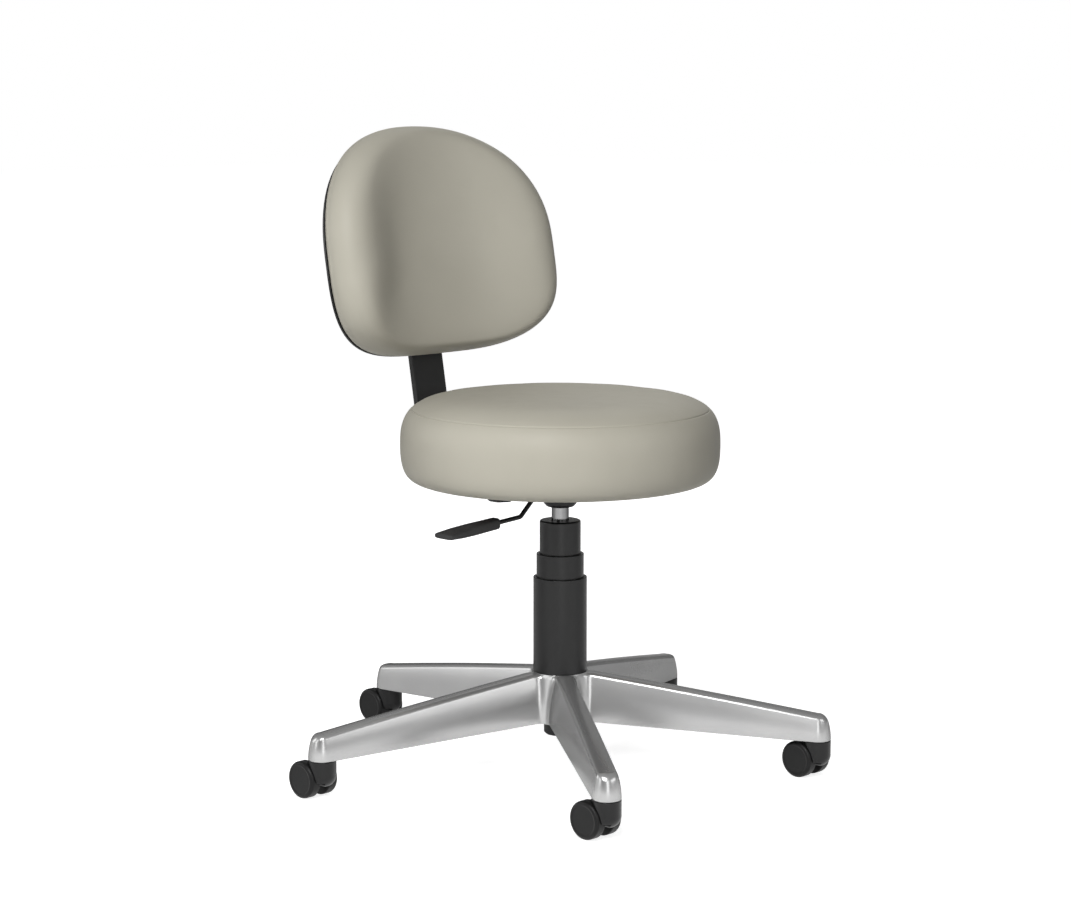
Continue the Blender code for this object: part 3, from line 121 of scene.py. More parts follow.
# Seat
SEAT_RADIUS = 0.2029
SEAT_LOW = 0.3726
SEAT_EQUATOR = 0.4250
SEAT_CROWN = 0.4831
SEAT_UPPER = (10.1, 2.38)  # how square the side is above the equator, out and up
SEAT_LOWER = (20.0, 2.88)
SEAM_ANGLE = math.radians(46)
SEAM_STEP = math.radians(0.7)
SEAM_DEPTH = 0.0013
BAND_MIDDLE = 0.4150
BAND_HALF = 0.0420
RIPPLE = 0.00035
RIPPLE_SIZE = 55.0
SEAT_ROOM = 0.0022  # left for the swelling
SEAT_SWELL = 0.0035  # the most that the cover swells
EVEN_OUT = 8  # rounds of evening out a cushion's swelling
STUFFING = {
    "quality": 6,
    "mass": 0.35,
    "tension_stiffness": 18,
    "compression_stiffness": 18,
    "shear_stiffness": 8,
    "bending_stiffness": 4,
    "use_pressure": True,
    "uniform_pressure_force": 4.0,
}
STUFFING_STEPS = 20
BOARD_RADIUS = 0.1739
BOARD_TOP = 0.3889

# Release lever, measured from its pivot
LEVER_PIVOT = Vector((-0.0320, COLUMN_Y, 0.3658))
LEVER_RADIUS = 0.0029
LEVER_PIN = 0.0022
LEVER_NOSE = 0.0365
LEVER_BEND = 0.0080
LEVER_INSIDE = 0.0250  # of the rod in its paddle
LEVER_HOLE = 0.0254
BARREL_RADIUS = 0.0050

# Back bar and back
LEAN = math.radians(10)
LEG_Z = 0.3680
BAR_REAR = 0.2226
BAR_WIDTH = 0.0550
BAR_THICKNESS = 0.0080
BAR_LEG_FRONT = 0.0650
BAR_BEND = 0.0300
BAR_UPRIGHT = 0.3800
BACK_ALONG_BAR = 0.2835
BACK_WIDTH = 0.3840
BACK_UPPER = 0.1682
BACK_LOWER = 0.1340
BACK_UPPER_SQUARE = 2.20
BACK_LOWER_SQUARE = 3.46
BACK_WRAP = 0.5050
SHELL_REAR = 0.0031
SHELL_THICKNESS = 0.0050
SHELL_RIM = 0.0006
SHELL_ROUNDING = 0.0024
SHELL_LOWERED = 0.0070  # how far the shell's top stays below the cushion's
PAD_REAR = 0.0089
PAD_THICKNESS = 0.0420
PAD_EDGE = 0.0350
PAD_PROUD = 0.0130  # of the rolls at the sides
PAD_HOLLOW = 0.0035
PAD_ROLL = 0.0450  # how far in the roll's crest lies
PAD_FADE = 0.36  # share of the face over which the rolls fade out
PAD_TOP_EDGE = 0.65  # how much tighter the roll is over the top
PAD_BOTTOM_EDGE = 0.75  # and along the bottom
PAD_DRAW_IN = 0.0030
PAD_ROOM = 0.0010  # left for the swelling
PAD_SWELL = 0.0030  # the most that the cover swells
BACK_BOARD_THICKNESS = 0.0080
BACK_BOARD_INSET = 0.0180
GLUE_GAP = 0.0008
BACK_POINTS = 96
SHRINKS = (0.0, 0.12, 0.25, 0.38, 0.5, 0.62, 0.73, 0.83, 0.91, 0.96)  # by which a ring opens out

# Stage
FLOOR_TONE = 0.75
FLOOR_GLOW = 0.84
FLOOR_FADE = (0.45, 1.1)  # distances over which the floor turns plain white
FLOOR_FRONT = (-0.574, -0.819, 0)  # where the floor looks brightest in the metal
FLOOR_BEHIND = 0.32
FLOOR_DARK = (0.454, 0.891, 0)  # and where its painted shade in the metal is darkest
FLOOR_DIP = 0.35
LAMP_REACH = 2.8
CARD_REACH = 2.3
CARD_TONE = 0.05
CEILING = 0.34
HORIZON = (0.035, 0.09)  # heights of a sight line between which white turns into the ceiling's grey
LAMP_AIM = Vector((0, 0, 0.45))
ROOM_LIGHT = 0.01
CAMERA_PLACE = (-2.2957, -2.2976, 0.87075)
CAMERA_TILT = 81.893
CAMERA_TURN = -44.963
CAMERA_LENS = 86.105


def deselect():
    bpy.ops.object.select_all(action="DESELECT")


def hold(piece):
    """Make one piece the only one selected, and the active one."""
    deselect()
    piece.select_set(True)
    bpy.context.view_layer.objects.active = piece


def start(name):
    """Name the primitive that was just added and step into edit mode."""
    piece = bpy.context.object
    piece.name = name
    piece.data.name = name
    bpy.ops.object.mode_set(mode="EDIT")
    return piece


def weld():
    """Join points that coincide and turn the faces outwards, then leave edit mode."""
    bpy.ops.mesh.select_all(action="SELECT")
    bpy.ops.mesh.remove_doubles(threshold=WELD)
    bpy.ops.mesh.normals_make_consistent(inside=False)
    bpy.ops.object.mode_set(mode="OBJECT")


def apply_modifier(piece, kind, **values):
    hold(piece)
    modifier = piece.modifiers.new(kind.lower(), kind)
    for key, value in values.items():
        setattr(modifier, key, value)
    bpy.ops.object.modifier_apply(modifier=modifier.name)


def soften(piece, angle=30):
    """Shade round walls smooth and keep flat faces flat."""
    hold(piece)
    bpy.ops.object.shade_smooth_by_angle(angle=math.radians(angle))
    apply_modifier(piece, "WEIGHTED_NORMAL", keep_sharp=True, weight=60)


def settle(piece, location=(0, 0, 0), rotation=(0, 0, 0)):
    """Put a piece in its place and write that place into its mesh."""
    hold(piece)
    piece.location = location
    piece.rotation_euler = rotation
    bpy.ops.object.transform_apply(location=True, rotation=True, scale=True)
    return piece


def copy_of(piece, name, shift=(0, 0, 0)):
    """A copy with its own mesh, moved."""
    hold(piece)
    bpy.ops.object.duplicate(linked=False)
    copy = bpy.context.object
    copy.name = name
    copy.data.name = name
    return settle(copy, shift)


def carve(piece, tool, operation="DIFFERENCE"):
    """Cut a tool out of a piece, or join it on, and throw the tool away."""
    apply_modifier(piece, "BOOLEAN", operation=operation, solver="EXACT", object=tool)
    bpy.data.objects.remove(tool, do_unlink=True)


def join(pieces):
    deselect()
    for piece in pieces:
        piece.select_set(True)
    bpy.context.view_layer.objects.active = pieces[0]
    bpy.ops.object.join()
    return pieces[0]


def shares(count):
    """Evenly spaced shares from 0 to 1."""
    return [k / count for k in range(count + 1)]


def soft_profile(corners, facets=5):
    """Corners (radius, height, rounding) with each rounded corner drawn as an arc."""
    points = []
    for i, (x, z, *rounding) in enumerate(corners):
        here = Vector((x, z))
        if not rounding:
            points.append(here)
            continue
        back = (Vector(corners[i - 1][:2]) - here).normalized()
        ahead = (Vector(corners[(i + 1) % len(corners)][:2]) - here).normalized()
        half = back.angle(ahead) / 2
        centre = here + (back + ahead).normalized() * rounding[0] / math.sin(half)
        first = here + back * rounding[0] / math.tan(half) - centre
        last = here + ahead * rounding[0] / math.tan(half) - centre
        spread = first.angle(last)
        for t in shares(facets):
            arc = first * math.sin((1 - t) * spread) + last * math.sin(t * spread)
            points.append(centre + arc / math.sin(spread))
    return points


def lathe(name, profile, steps=ROUND, closed=False):
    """Extrude one point along a half profile of (radius, height) and spin it about Z."""
    points = [Vector((r, 0, z)) for r, z in profile]
    if closed:
        points.append(points[0])
    deselect()
    bpy.ops.mesh.primitive_plane_add(size=0.01)
    piece = start(name)
    bpy.ops.mesh.merge(type="CENTER")
    bpy.ops.transform.translate(value=points[0])
    for before, after in zip(points, points[1:]):
        bpy.ops.mesh.extrude_vertices_move(TRANSFORM_OT_translate={"value": after - before})
    bpy.ops.mesh.select_all(action="SELECT")
    bpy.ops.mesh.spin(steps=steps, angle=2 * math.pi, center=(0, 0, 0), axis=(0, 0, 1))
    weld()
    return piece


def plug(name, radius, low, high, steps=ROUND):
    """A plain round bar from low to high, to cut with."""
    return lathe(name, [(0, high), (radius, high), (radius, low), (0, low)], steps)


def lay(piece, ring):
    """Put the selected points, in their own order, on a ring's places."""
    mesh = bmesh.from_edit_mesh(piece.data)
    for vert, place in zip([v for v in mesh.verts if v.select], ring):
        vert.co = place
    bmesh.update_edit_mesh(piece.data)


def loft(name, rings, capped=True):
    """Draw a circle of points, lay it on the first ring and extrude it from ring to ring."""
    deselect()
    fill = "NGON" if capped else "NOTHING"
    bpy.ops.mesh.primitive_circle_add(vertices=len(rings[0]), radius=0.1, fill_type=fill)
    piece = start(name)
    lay(piece, rings[0])
    for ring in rings[1:]:
        bpy.ops.mesh.extrude_region_move()
        lay(piece, ring)
    weld()
    return piece


def finer(node, name, body, slot, material, edge=0.0, angle=35):
    """A copy of a CAD solid with its triangles joined up, small edges eased and round walls smooth."""
    piece = bpy.data.objects.new(name, frame["nodes"][node].data.copy())
    bpy.context.scene.collection.objects.link(piece)
    hold(piece)
    bpy.ops.object.mode_set(mode="EDIT")
    bpy.ops.mesh.select_all(action="SELECT")
    bpy.ops.mesh.remove_doubles(threshold=WELD)
    bpy.ops.mesh.dissolve_limited(angle_limit=math.radians(0.5))
    bpy.ops.object.mode_set(mode="OBJECT")
    if edge:
        limit = math.radians(50)
        apply_modifier(piece, "BEVEL", width=edge, segments=2, limit_method="ANGLE", angle_limit=limit)
    soften(piece, angle)
    seat_on(piece, body, slot, material, node)


def seat_on(piece, body, slot, material, *nodes):
    """Give a finished piece its material, its body and the CAD nodes that it stands for."""
    piece.data.materials.clear()
    piece.data.materials.append(material)
    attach(piece, body)
    if nodes:
        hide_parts(*nodes)


# Finishes


def node_group(name, size, outputs):
    """A group that draws on a place at a size."""
    tree = bpy.data.node_groups.new(name, "ShaderNodeTree")
    tree.interface.new_socket("Vector", in_out="INPUT", socket_type="NodeSocketVector")
    socket = tree.interface.new_socket("Size", in_out="INPUT", socket_type="NodeSocketFloat")
    socket.default_value = size
    for label in outputs:
        tree.interface.new_socket(label, in_out="OUTPUT", socket_type="NodeSocketFloat")
    given = tree.nodes.new("NodeGroupInput").outputs
    return tree, given["Vector"], given["Size"], tree.nodes.new("NodeGroupOutput").inputs


def add(tree, kind, inputs=None, **settings):
    """A node with its settings, and its inputs given as values or as sockets to link."""
    node = tree.nodes.new(kind)
    for key, value in settings.items():
        setattr(node, key, value)
    for key, value in (inputs or {}).items():
        if isinstance(value, bpy.types.NodeSocket):
            tree.links.new(value, node.inputs[key])
        else:
            node.inputs[key].default_value = value
    return node


def reckon(tree, operation, first, second=0.5):
    return add(tree, "ShaderNodeMath", {0: first, 1: second}, operation=operation).outputs[0]


def clouds(tree, place, scale, detail=2.0, rough=0.5):
    """Outputs of a cloudy pattern."""
    given = {"Vector": place, "Scale": scale, "Detail": detail, "Roughness": rough}
    return add(tree, "ShaderNodeTexNoise", given).outputs


def between(tree, value, low, high, start_at=0.3, end_at=0.7):
    """Spread a mask over a range of values."""
    given = {"Value": value, "From Min": start_at, "From Max": end_at, "To Min": low, "To Max": high}
    return add(tree, "ShaderNodeMapRange", given).outputs["Result"]


def make_grain_group():
    """Pressed hide grain: small rounded cells with finer pores between them."""
    tree, place, size, result = node_group("pressed_grain", 900.0, ["Height"])
    wander = clouds(tree, place, 160.0)["Color"]
    bend = add(tree, "ShaderNodeVectorMath", {0: wander, "Scale": 0.0012}, operation="SCALE")
    moved = add(tree, "ShaderNodeVectorMath", {0: place, 1: bend.outputs[0]}, operation="ADD")
    cells = add(tree, "ShaderNodeTexVoronoi", feature="SMOOTH_F1")
    tree.links.new(moved.outputs[0], cells.inputs["Vector"])
    tree.links.new(size, cells.inputs["Scale"])
    cells.inputs["Smoothness"].default_value = 0.6
    part = reckon(tree, "MULTIPLY", clouds(tree, place, 2600.0)["Fac"], 0.35)
    tree.links.new(reckon(tree, "ADD", cells.outputs["Distance"], part), result["Height"])
    return tree


def make_moulded_group():
    """Fine etched texture of a moulded or sprayed surface."""
    tree, place, size, result = node_group("etched_texture", 1800.0, ["Height"])
    fine = clouds(tree, place, size, 3.0, 0.6)["Fac"]
    tree.links.new(between(tree, fine, 0, 1, 0.35, 0.65), result["Height"])
    return tree


def make_drift_group():
    """Slow changes over a surface, as handling and casting leave them."""
    tree, place, size, result = node_group("slow_drift", 9.0, ["Drift", "Smudge"])
    tree.links.new(clouds(tree, place, size, 3.0)["Fac"], result["Drift"])
    spots = clouds(tree, place, reckon(tree, "MULTIPLY", size, 6.0), 4.0, 0.7)
    tree.links.new(spots["Fac"], result["Smudge"])
    return tree


GRAIN = make_grain_group()
MOULDED = make_moulded_group()
DRIFT = make_drift_group()


def new_material(name):
    """A material with its shader, and the object's own coordinates to draw on."""
    material = bpy.data.materials.new(name)
    material.use_nodes = True
    tree = material.node_tree
    shader = tree.nodes["Principled BSDF"]
    place = add(tree, "ShaderNodeTexCoord").outputs["Object"]
    return material, tree, shader, place


def use_group(tree, group, place, size):
    node = add(tree, "ShaderNodeGroup", node_tree=group)
    tree.links.new(place, node.inputs["Vector"])
    node.inputs["Size"].default_value = size
    return node


def mix_colours(tree, share, first, second):
    mix = add(tree, "ShaderNodeMix", data_type="RGBA")
    tree.links.new(share, mix.inputs["Factor"])
    for socket, colour in ((mix.inputs[6], first), (mix.inputs[7], second)):
        if isinstance(colour, bpy.types.NodeSocket):
            tree.links.new(colour, socket)
        else:
            socket.default_value = (*colour, 1.0)
    return mix.outputs[2]


def bump(tree, height, strength, distance):
    node = add(tree, "ShaderNodeBump", {"Height": height, "Strength": strength, "Distance": distance})
    return node.outputs["Normal"]


def greys(dark, light, cast=0.0002):
    """Two greys, the darker one a touch bluer."""
    return (dark, dark, dark + cast), (light, light, light)


def coated(name, colours, rough, size, depth, drift_size, constants, texture=MOULDED):
    """A finish whose colour and gloss drift slowly over a fine texture."""
    material, tree, shader, place = new_material(name)
    drift = use_group(tree, DRIFT, place, drift_size)
    fine = use_group(tree, texture, place, size)
    tone = mix_colours(tree, between(tree, drift.outputs["Drift"], 0, 1), *colours)
    tree.links.new(tone, shader.inputs["Base Color"])
    tree.links.new(between(tree, drift.outputs["Smudge"], *rough), shader.inputs["Roughness"])
    tree.links.new(bump(tree, fine.outputs["Height"], 0.35, depth), shader.inputs["Normal"])
    for label, value in constants.items():
        shader.inputs[label].default_value = value
    return material


def gloss(level):
    return {"Specular IOR Level": level}


def metal(tint=1.0):
    return {"Metallic": 1.0, "Specular Tint": (tint, tint, tint, 1)}


def make_aluminium():
    """Satin-polished casting: fine polishing lines round the hub and a little cloudiness."""
    material, tree, shader, place = new_material("satin_aluminium")
    middle = add(tree, "ShaderNodeMapping", {"Vector": place})
    middle.inputs["Location"].default_value = (0, -COLUMN_Y, 0)
    drift = use_group(tree, DRIFT, place, 14.0)
    stretched = add(tree, "ShaderNodeMapping", {"Vector": middle.outputs["Vector"]})
    stretched.inputs["Scale"].default_value = (1, 1, 14)
    lines = clouds(tree, stretched.outputs["Vector"], 260.0, 4.0, 0.65)["Fac"]
    share = between(tree, drift.outputs["Drift"], 0, 1)
    tone = mix_colours(tree, share, (0.455, 0.455, 0.455), (0.495, 0.495, 0.492))
    tree.links.new(tone, shader.inputs["Base Color"])
    tree.links.new(between(tree, lines, 0.22, 0.27), shader.inputs["Roughness"])
    tree.links.new(bump(tree, lines, 0.03, 0.00002), shader.inputs["Normal"])
    shader.inputs["Metallic"].default_value = 0.70
    shader.inputs["Specular Tint"].default_value = (0.4, 0.4, 0.4, 1)
    return material


def make_plywood():
    """Birch ply: long grain on the faces and stacked plies round the edge."""
    material, tree, shader, place = new_material("birch_ply")
    long = add(tree, "ShaderNodeMapping", {"Vector": place})
    long.inputs["Scale"].default_value = (55, 5, 55)
    grain = clouds(tree, long.outputs["Vector"], 3.0, 5.0)["Fac"]
    up = add(tree, "ShaderNodeSeparateXYZ", {"Vector": place}).outputs["Z"]
    plies = reckon(tree, "SINE", reckon(tree, "MULTIPLY", up, 1500.0))
    layer = between(tree, plies, 0.0, 0.35, -0.2, 0.2)
    share = between(tree, grain, 0, 1, 0.35, 0.65)
    wood = mix_colours(tree, share, (0.115, 0.088, 0.062), (0.165, 0.130, 0.092))
    tree.links.new(mix_colours(tree, layer, wood, (0.075, 0.057, 0.042)), shader.inputs["Base Color"])
    tree.links.new(between(tree, grain, 0.62, 0.78), shader.inputs["Roughness"])
    tree.links.new(bump(tree, grain, 0.3, 0.0002), shader.inputs["Normal"])
    return material


VINYL = coated(
    "upholstery_vinyl",
    ((0.445, 0.425, 0.358), (0.475, 0.455, 0.385)),
    (0.46, 0.56),
    850,
    0.00012,
    7,
    {"Specular IOR Level": 0.25, "Sheen Weight": 0.02, "Sheen Roughness": 0.45},
    GRAIN,
)
ALUMINIUM = make_aluminium()
PLYWOOD = make_plywood()
BLACK_PLASTIC = coated("moulded_black", greys(0.0030, 0.0040), (0.29, 0.37), 2200, 0.00006, 25, gloss(0.36))
# The lever paddle's black, ten times lighter than the moulded black: painted light standing in for the light
# the paddle catches.
PADDLE_LIT_BLACK = coated("paddle_lit_black", greys(0.030, 0.036, 0.0005), (0.50, 0.60), 2200, 0.00006, 25, gloss(0.25))
NYLON = coated("roller_nylon", greys(0.0055, 0.0075), (0.38, 0.46), 2600, 0.00005, 40, gloss(0.23))
BLACK_PAINT = coated("black_powder_coat", greys(0.009, 0.012), (0.40, 0.50), 1300, 0.00008, 18, gloss(0.30))
CHROME_TONES = ((0.20, 0.202, 0.205), (0.24, 0.24, 0.24))
CHROME = coated("hard_chrome", CHROME_TONES, (0.08, 0.13), 900, 0.000004, 30, metal(0.3))
STEEL = coated("bare_steel", greys(0.50, 0.60, 0.01), (0.26, 0.38), 1500, 0.00002, 60, metal())
BUSH_TONES = ((0.64, 0.63, 0.57), (0.71, 0.70, 0.64))
BUSH = coated("bush_nylon", BUSH_TONES, (0.38, 0.50), 2000, 0.00004, 40, {})


# Five-arm base

CROTCH_CENTRE = (ROOT_HALF_WIDTH + CROTCH_FILLET) / math.sin(ARM_PITCH / 2)
ARM_START = CROTCH_CENTRE * math.cos(ARM_PITCH / 2)


def arm_share(x):
    """0 where the arm leaves the hub, 1 at its stem."""
    return min(1.0, max(0.0, (x - ARM_START) / (STEM_CIRCLE - ARM_START)))


def along_arm(x, root, tip):
    return root + (tip - root) * arm_share(x)


def arm_low(x):
    return along_arm(x, HUB_LOW, TIP_LOW)


def arm_high(x):
    share = arm_share(x)
    return along_arm(x, HUB_HIGH, TIP_HIGH) + ARM_BOW * 4 * share * (1 - share)


def arm_outline():
    """One arm along +X and the fillet after it.

    Each point is (x, y, way into the metal, half width, place on the spine, edge radius).
    """
    side = [ARM_START + (STEM_CIRCLE - ARM_START) * k / SIDE_POINTS for k in range(SIDE_POINTS)]
    widths = [along_arm(x, ROOT_HALF_WIDTH, TIP_RADIUS) for x in side]
    points = [(x, -w, (0, 1), w, x, ARM_EDGE) for x, w in zip(side, widths)]
    for i in range(TIP_POINTS):
        angle = math.pi * (i / (TIP_POINTS - 1) - 0.5)
        c, s = math.cos(angle), math.sin(angle)
        edge = ARM_EDGE + (TIP_EDGE - ARM_EDGE) * c * c
        points.append((STEM_CIRCLE + TIP_RADIUS * c, TIP_RADIUS * s, (-c, -s), TIP_RADIUS, STEM_CIRCLE, edge))
    points += [(x, w, (0, -1), w, x, ARM_EDGE) for x, w in reversed(list(zip(side, widths)))]
    middle = CROTCH_CENTRE * math.sin(ARM_PITCH / 2)
    for i in range(1, CROTCH_POINTS - 1):
        angle = -math.pi / 2 - (math.pi - ARM_PITCH) * i / (CROTCH_POINTS - 1)
        c, s = math.cos(angle), math.sin(angle)
        x, y = ARM_START + CROTCH_FILLET * c, middle + CROTCH_FILLET * s
        points.append((x, y, (c, s), ROOT_HALF_WIDTH, 0.0, ARM_EDGE))
    return points


def arm_section(half, height, edge):
    """Half an arm's section from its foot to its ridge, as (way in, way up)."""
    foot, under = (math.tan(lean) for lean in ARM_LEAN)
    lean, slope = ARM_LEAN[1], math.tan(ARM_CROWN)
    edge_in = edge * (math.cos(lean) - math.sin(ARM_CROWN))
    edge_up = edge * (math.cos(ARM_CROWN) - math.sin(lean))
    mean = (foot + under) / 2
    side = (height - edge_up - slope / 2 * (half - edge_in)) / (1 - slope * mean / 2)
    points = [(side * (foot * t + (under - foot) * t * t / 2), side * t) for t in shares(SECTION_STEPS[0])]
    way_in, way_up = points[-1]
    for t in shares(SECTION_STEPS[1])[1:]:
        angle = lean + (math.pi / 2 - ARM_CROWN - lean) * t
        turned_in, turned_up = math.cos(lean) - math.cos(angle), math.sin(angle) - math.sin(lean)
        points.append((way_in + edge * turned_in, way_up + edge * turned_up))
    way_in, way_up = points[-1]
    top = half - way_in
    for t in shares(SECTION_STEPS[2])[1:]:
        points.append((way_in + top * min(t, 0.98), way_up + slope * top * (t - t * t / 2)))
    return points


def base_rings():
    """The star from the middle of its underside, out round its foot and up over its ridges."""
    columns = []
    for turn in ARM_TURNS:
        for x, y, into, half, spine, edge in arm_outline():
            low, high = arm_low(x), arm_high(x)
            foot = low + UNDER_EDGE
            column = [(0.0, 0.0, spine, arm_low(spine))]
            for t in shares(3):
                turned = math.pi / 2 * t
                way_in, way_up = UNDER_EDGE * (1 - math.sin(turned)), UNDER_EDGE * (1 - math.cos(turned))
                column.append((way_in, way_up, None, low))
            column += [(i, u, None, foot) for i, u in arm_section(half, high - foot, edge)[1:]]
            column.append((0.0, 0.0, spine, arm_high(spine)))
            placed = []
            for way_in, way_up, middle, z in column:
                if middle is None:
                    px, py = x + into[0] * way_in, y + into[1] * way_in
                    reach = math.hypot(px, py)
                    wide = (reach + HUB_RADIUS + math.hypot(reach - HUB_RADIUS, HUB_BLEND)) / 2
                    px, py = px * wide / reach, py * wide / reach
                else:
                    px, py = middle, 0.0
                c, s = math.cos(turn), math.sin(turn)
                placed.append((px * c - py * s, px * s + py * c, z + way_up))
            columns.append(placed)
    return [list(ring) for ring in zip(*columns)]


def stem_place(turn):
    return Vector((STEM_CIRCLE * math.cos(turn), STEM_CIRCLE * math.sin(turn), 0))


def arm_pocket(first, last, turn):
    """The hollow under an arm, narrower at its roof."""
    rings = []
    for x in (first, last):
        low = arm_low(x) - UNDER_EDGE
        high = arm_high(x) - POCKET_ROOF
        wide = along_arm(x, ROOT_HALF_WIDTH, TIP_RADIUS) - ARM_WALL
        narrow = wide - (high - low) * math.tan(POCKET_DRAFT)
        rings.append([(x, -wide, low), (x, wide, low), (x, narrow, high), (x, -narrow, high)])
    return settle(loft("pocket", rings), rotation=(0, 0, turn))


def make_base():
    base = loft("cast_base", base_rings(), capped=False)
    middle = (POCKET_START + POCKET_END) / 2
    tools = []
    for turn in ARM_TURNS:
        tools.append(arm_pocket(POCKET_START, middle - ARM_RIB / 2, turn))
        tools.append(arm_pocket(middle + ARM_RIB / 2, POCKET_END, turn))
        socket = plug("stem_socket", STEM_RADIUS + GAP, TIP_LOW - GAP, STEM_TOP + GAP, 48)
        tools.append(settle(socket, stem_place(turn)))
    above, below = HUB_HIGH + OVERCUT, HUB_LOW - OVERCUT
    profile = [(0, above), (BORE_TOP, above), (BORE_BOTTOM, below), (0, below)]
    tools.append(lathe("hub_bore", profile))
    carve(base, join(tools))
    settle(base, COLUMN)
    soften(base, 32)
    seat_on(base, "base", "polished_aluminium", ALUMINIUM, "star_base")


# Casters


def make_wheel(name, side):
    """One wheel with a ridge round its dished face; side is -1 for the right, 1 for the left."""
    r, w = WHEEL_RADIUS, WHEEL_WIDTH
    bore = AXLE_RADIUS + GAP
    corners = [
        (0, w - 0.0005),
        (r - 0.0062, w - 0.0005, 0.0040),
        (r - 0.0044, w, 0.0016),
        (r, w, 0.0038),
        (r, 0.0009, 0.0008),
        (r - 0.0009, 0, 0.0003),
        (bore, 0),
        (bore, AXLE_BORE),
        (0, AXLE_BORE),
    ]
    wheel = lathe(name, soft_profile(corners))
    settle(wheel, (side * WHEEL_INNER, TRAIL, WHEEL_RADIUS), (0, side * math.pi / 2, 0))
    soften(wheel, 40)
    return wheel


def make_hood():
    """Domed hood round the stem, with a web down between the wheels and a boss for the axle."""
    corners = [(0, HOOD_TOP), (TIP_RADIUS, HOOD_TOP, 0.0007)]
    corners += [(TIP_RADIUS, HOOD_LOW, HOOD_ROUNDING), (0, HOOD_LOW)]
    hood = lathe("hood", soft_profile(corners, 9))
    axle = (0, TRAIL, WHEEL_RADIUS)
    for side in (-1, 1):
        well = plug("well", WELL_RADIUS, HOOD_WEB / 2, WHEEL_INNER + WHEEL_WIDTH + TIP_RADIUS)
        carve(hood, settle(well, axle, (0, side * math.pi / 2, 0)))
    half = HOOD_WEB / 2
    middle = HOOD_LOW + half
    under = [(TIP_RADIUS, middle), (TIP_RADIUS, 0), (-TIP_RADIUS, 0), (-TIP_RADIUS, middle)]
    for t in shares(16):
        angle = math.pi * (1 + t)
        under.append((half * math.cos(angle), middle + half * math.sin(angle)))
    carve(hood, loft("nose", [[(x, y, z) for x, z in under] for y in (-2 * TIP_RADIUS, 2 * TIP_RADIUS)]))
    half -= GAP
    corners = [(0, half), (BOSS_RADIUS, half, 0.0006), (BOSS_RADIUS, -half, 0.0006), (0, -half)]
    boss = settle(lathe("boss", soft_profile(corners, 3), 64), axle, (0, math.pi / 2, 0))
    carve(hood, boss, "UNION")
    bore = plug("axle_bore", AXLE_RADIUS + GAP, -HOOD_WEB, HOOD_WEB, 48)
    carve(hood, settle(bore, axle, (0, math.pi / 2, 0)))
    carve(hood, plug("stem_bore", STEM_RADIUS + GAP, STEM_FOOT, HOOD_TOP + TOOL_REACH, 48))
    soften(hood, 32)
    return hood


def make_casters():
    hood = make_hood()
    wheels = {"right": make_wheel("roller_right", -1), "left": make_wheel("roller_left", 1)}
    for number, turn in enumerate(ARM_TURNS, start=1):
        stem = COLUMN + stem_place(turn)
        copy = copy_of(hood, f"hood_{number}", stem)
        seat_on(copy, f"caster_{number}", "black_plastic", BLACK_PLASTIC, f"caster_hood_{number}")
        for side, wheel in wheels.items():
            copy = copy_of(wheel, f"roller_{side}_{number}", stem)
            node = f"wheel_{side}_{number}"
            seat_on(copy, node, "wheel_nylon", NYLON, node)
    for master in (hood, *wheels.values()):
        bpy.data.objects.remove(master, do_unlink=True)


# Column


def make_sleeve(node, name, radius, neck, body, foot=True, rounding=0.0009):
    """A telescopic sleeve with a lip round its neck and a flange round its foot."""
    low, high = (corner.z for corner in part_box(node))
    bore = radius - SLEEVE_WALL
    corners = [(neck, high, 0.0005), (radius, high, rounding)]
    if foot:
        out = radius + SLEEVE_FLANGE
        corners += [(radius, low + SLEEVE_LIP), (out, low + SLEEVE_LIP, 0.0004), (out, low, 0.0004)]
    else:
        corners += [(radius, low, 0.0005)]
    under = high - SLEEVE_LIP
    corners += [(bore, low), (bore, under - SLEEVE_LIP), (bore - SLEEVE_STEP, under), (neck, under)]
    sleeve = lathe(name, soft_profile(corners), closed=True)
    settle(sleeve, COLUMN)
    soften(sleeve, 35)
    seat_on(sleeve, body, "black_plastic", BLACK_PLASTIC, node)


def make_column():
    outer, middle, inner = SLEEVE_RADII
    make_sleeve("outer_sleeve", "sleeve_outer", outer, middle + GAP, "base", foot=False)
    make_sleeve("middle_sleeve", "sleeve_middle", middle, inner + GAP, "middle_sleeve")
    make_sleeve("inner_sleeve", "sleeve_inner", inner, TUBE_RADIUS + GAP, "inner_sleeve", rounding=0.0024)

    finer("pressure_tube", "gas_tube", "seat", "chrome", CHROME, angle=40)
    finer("standing_tube", "tube_lower", "base", "black_paint", BLACK_PAINT, angle=40)


# Seat


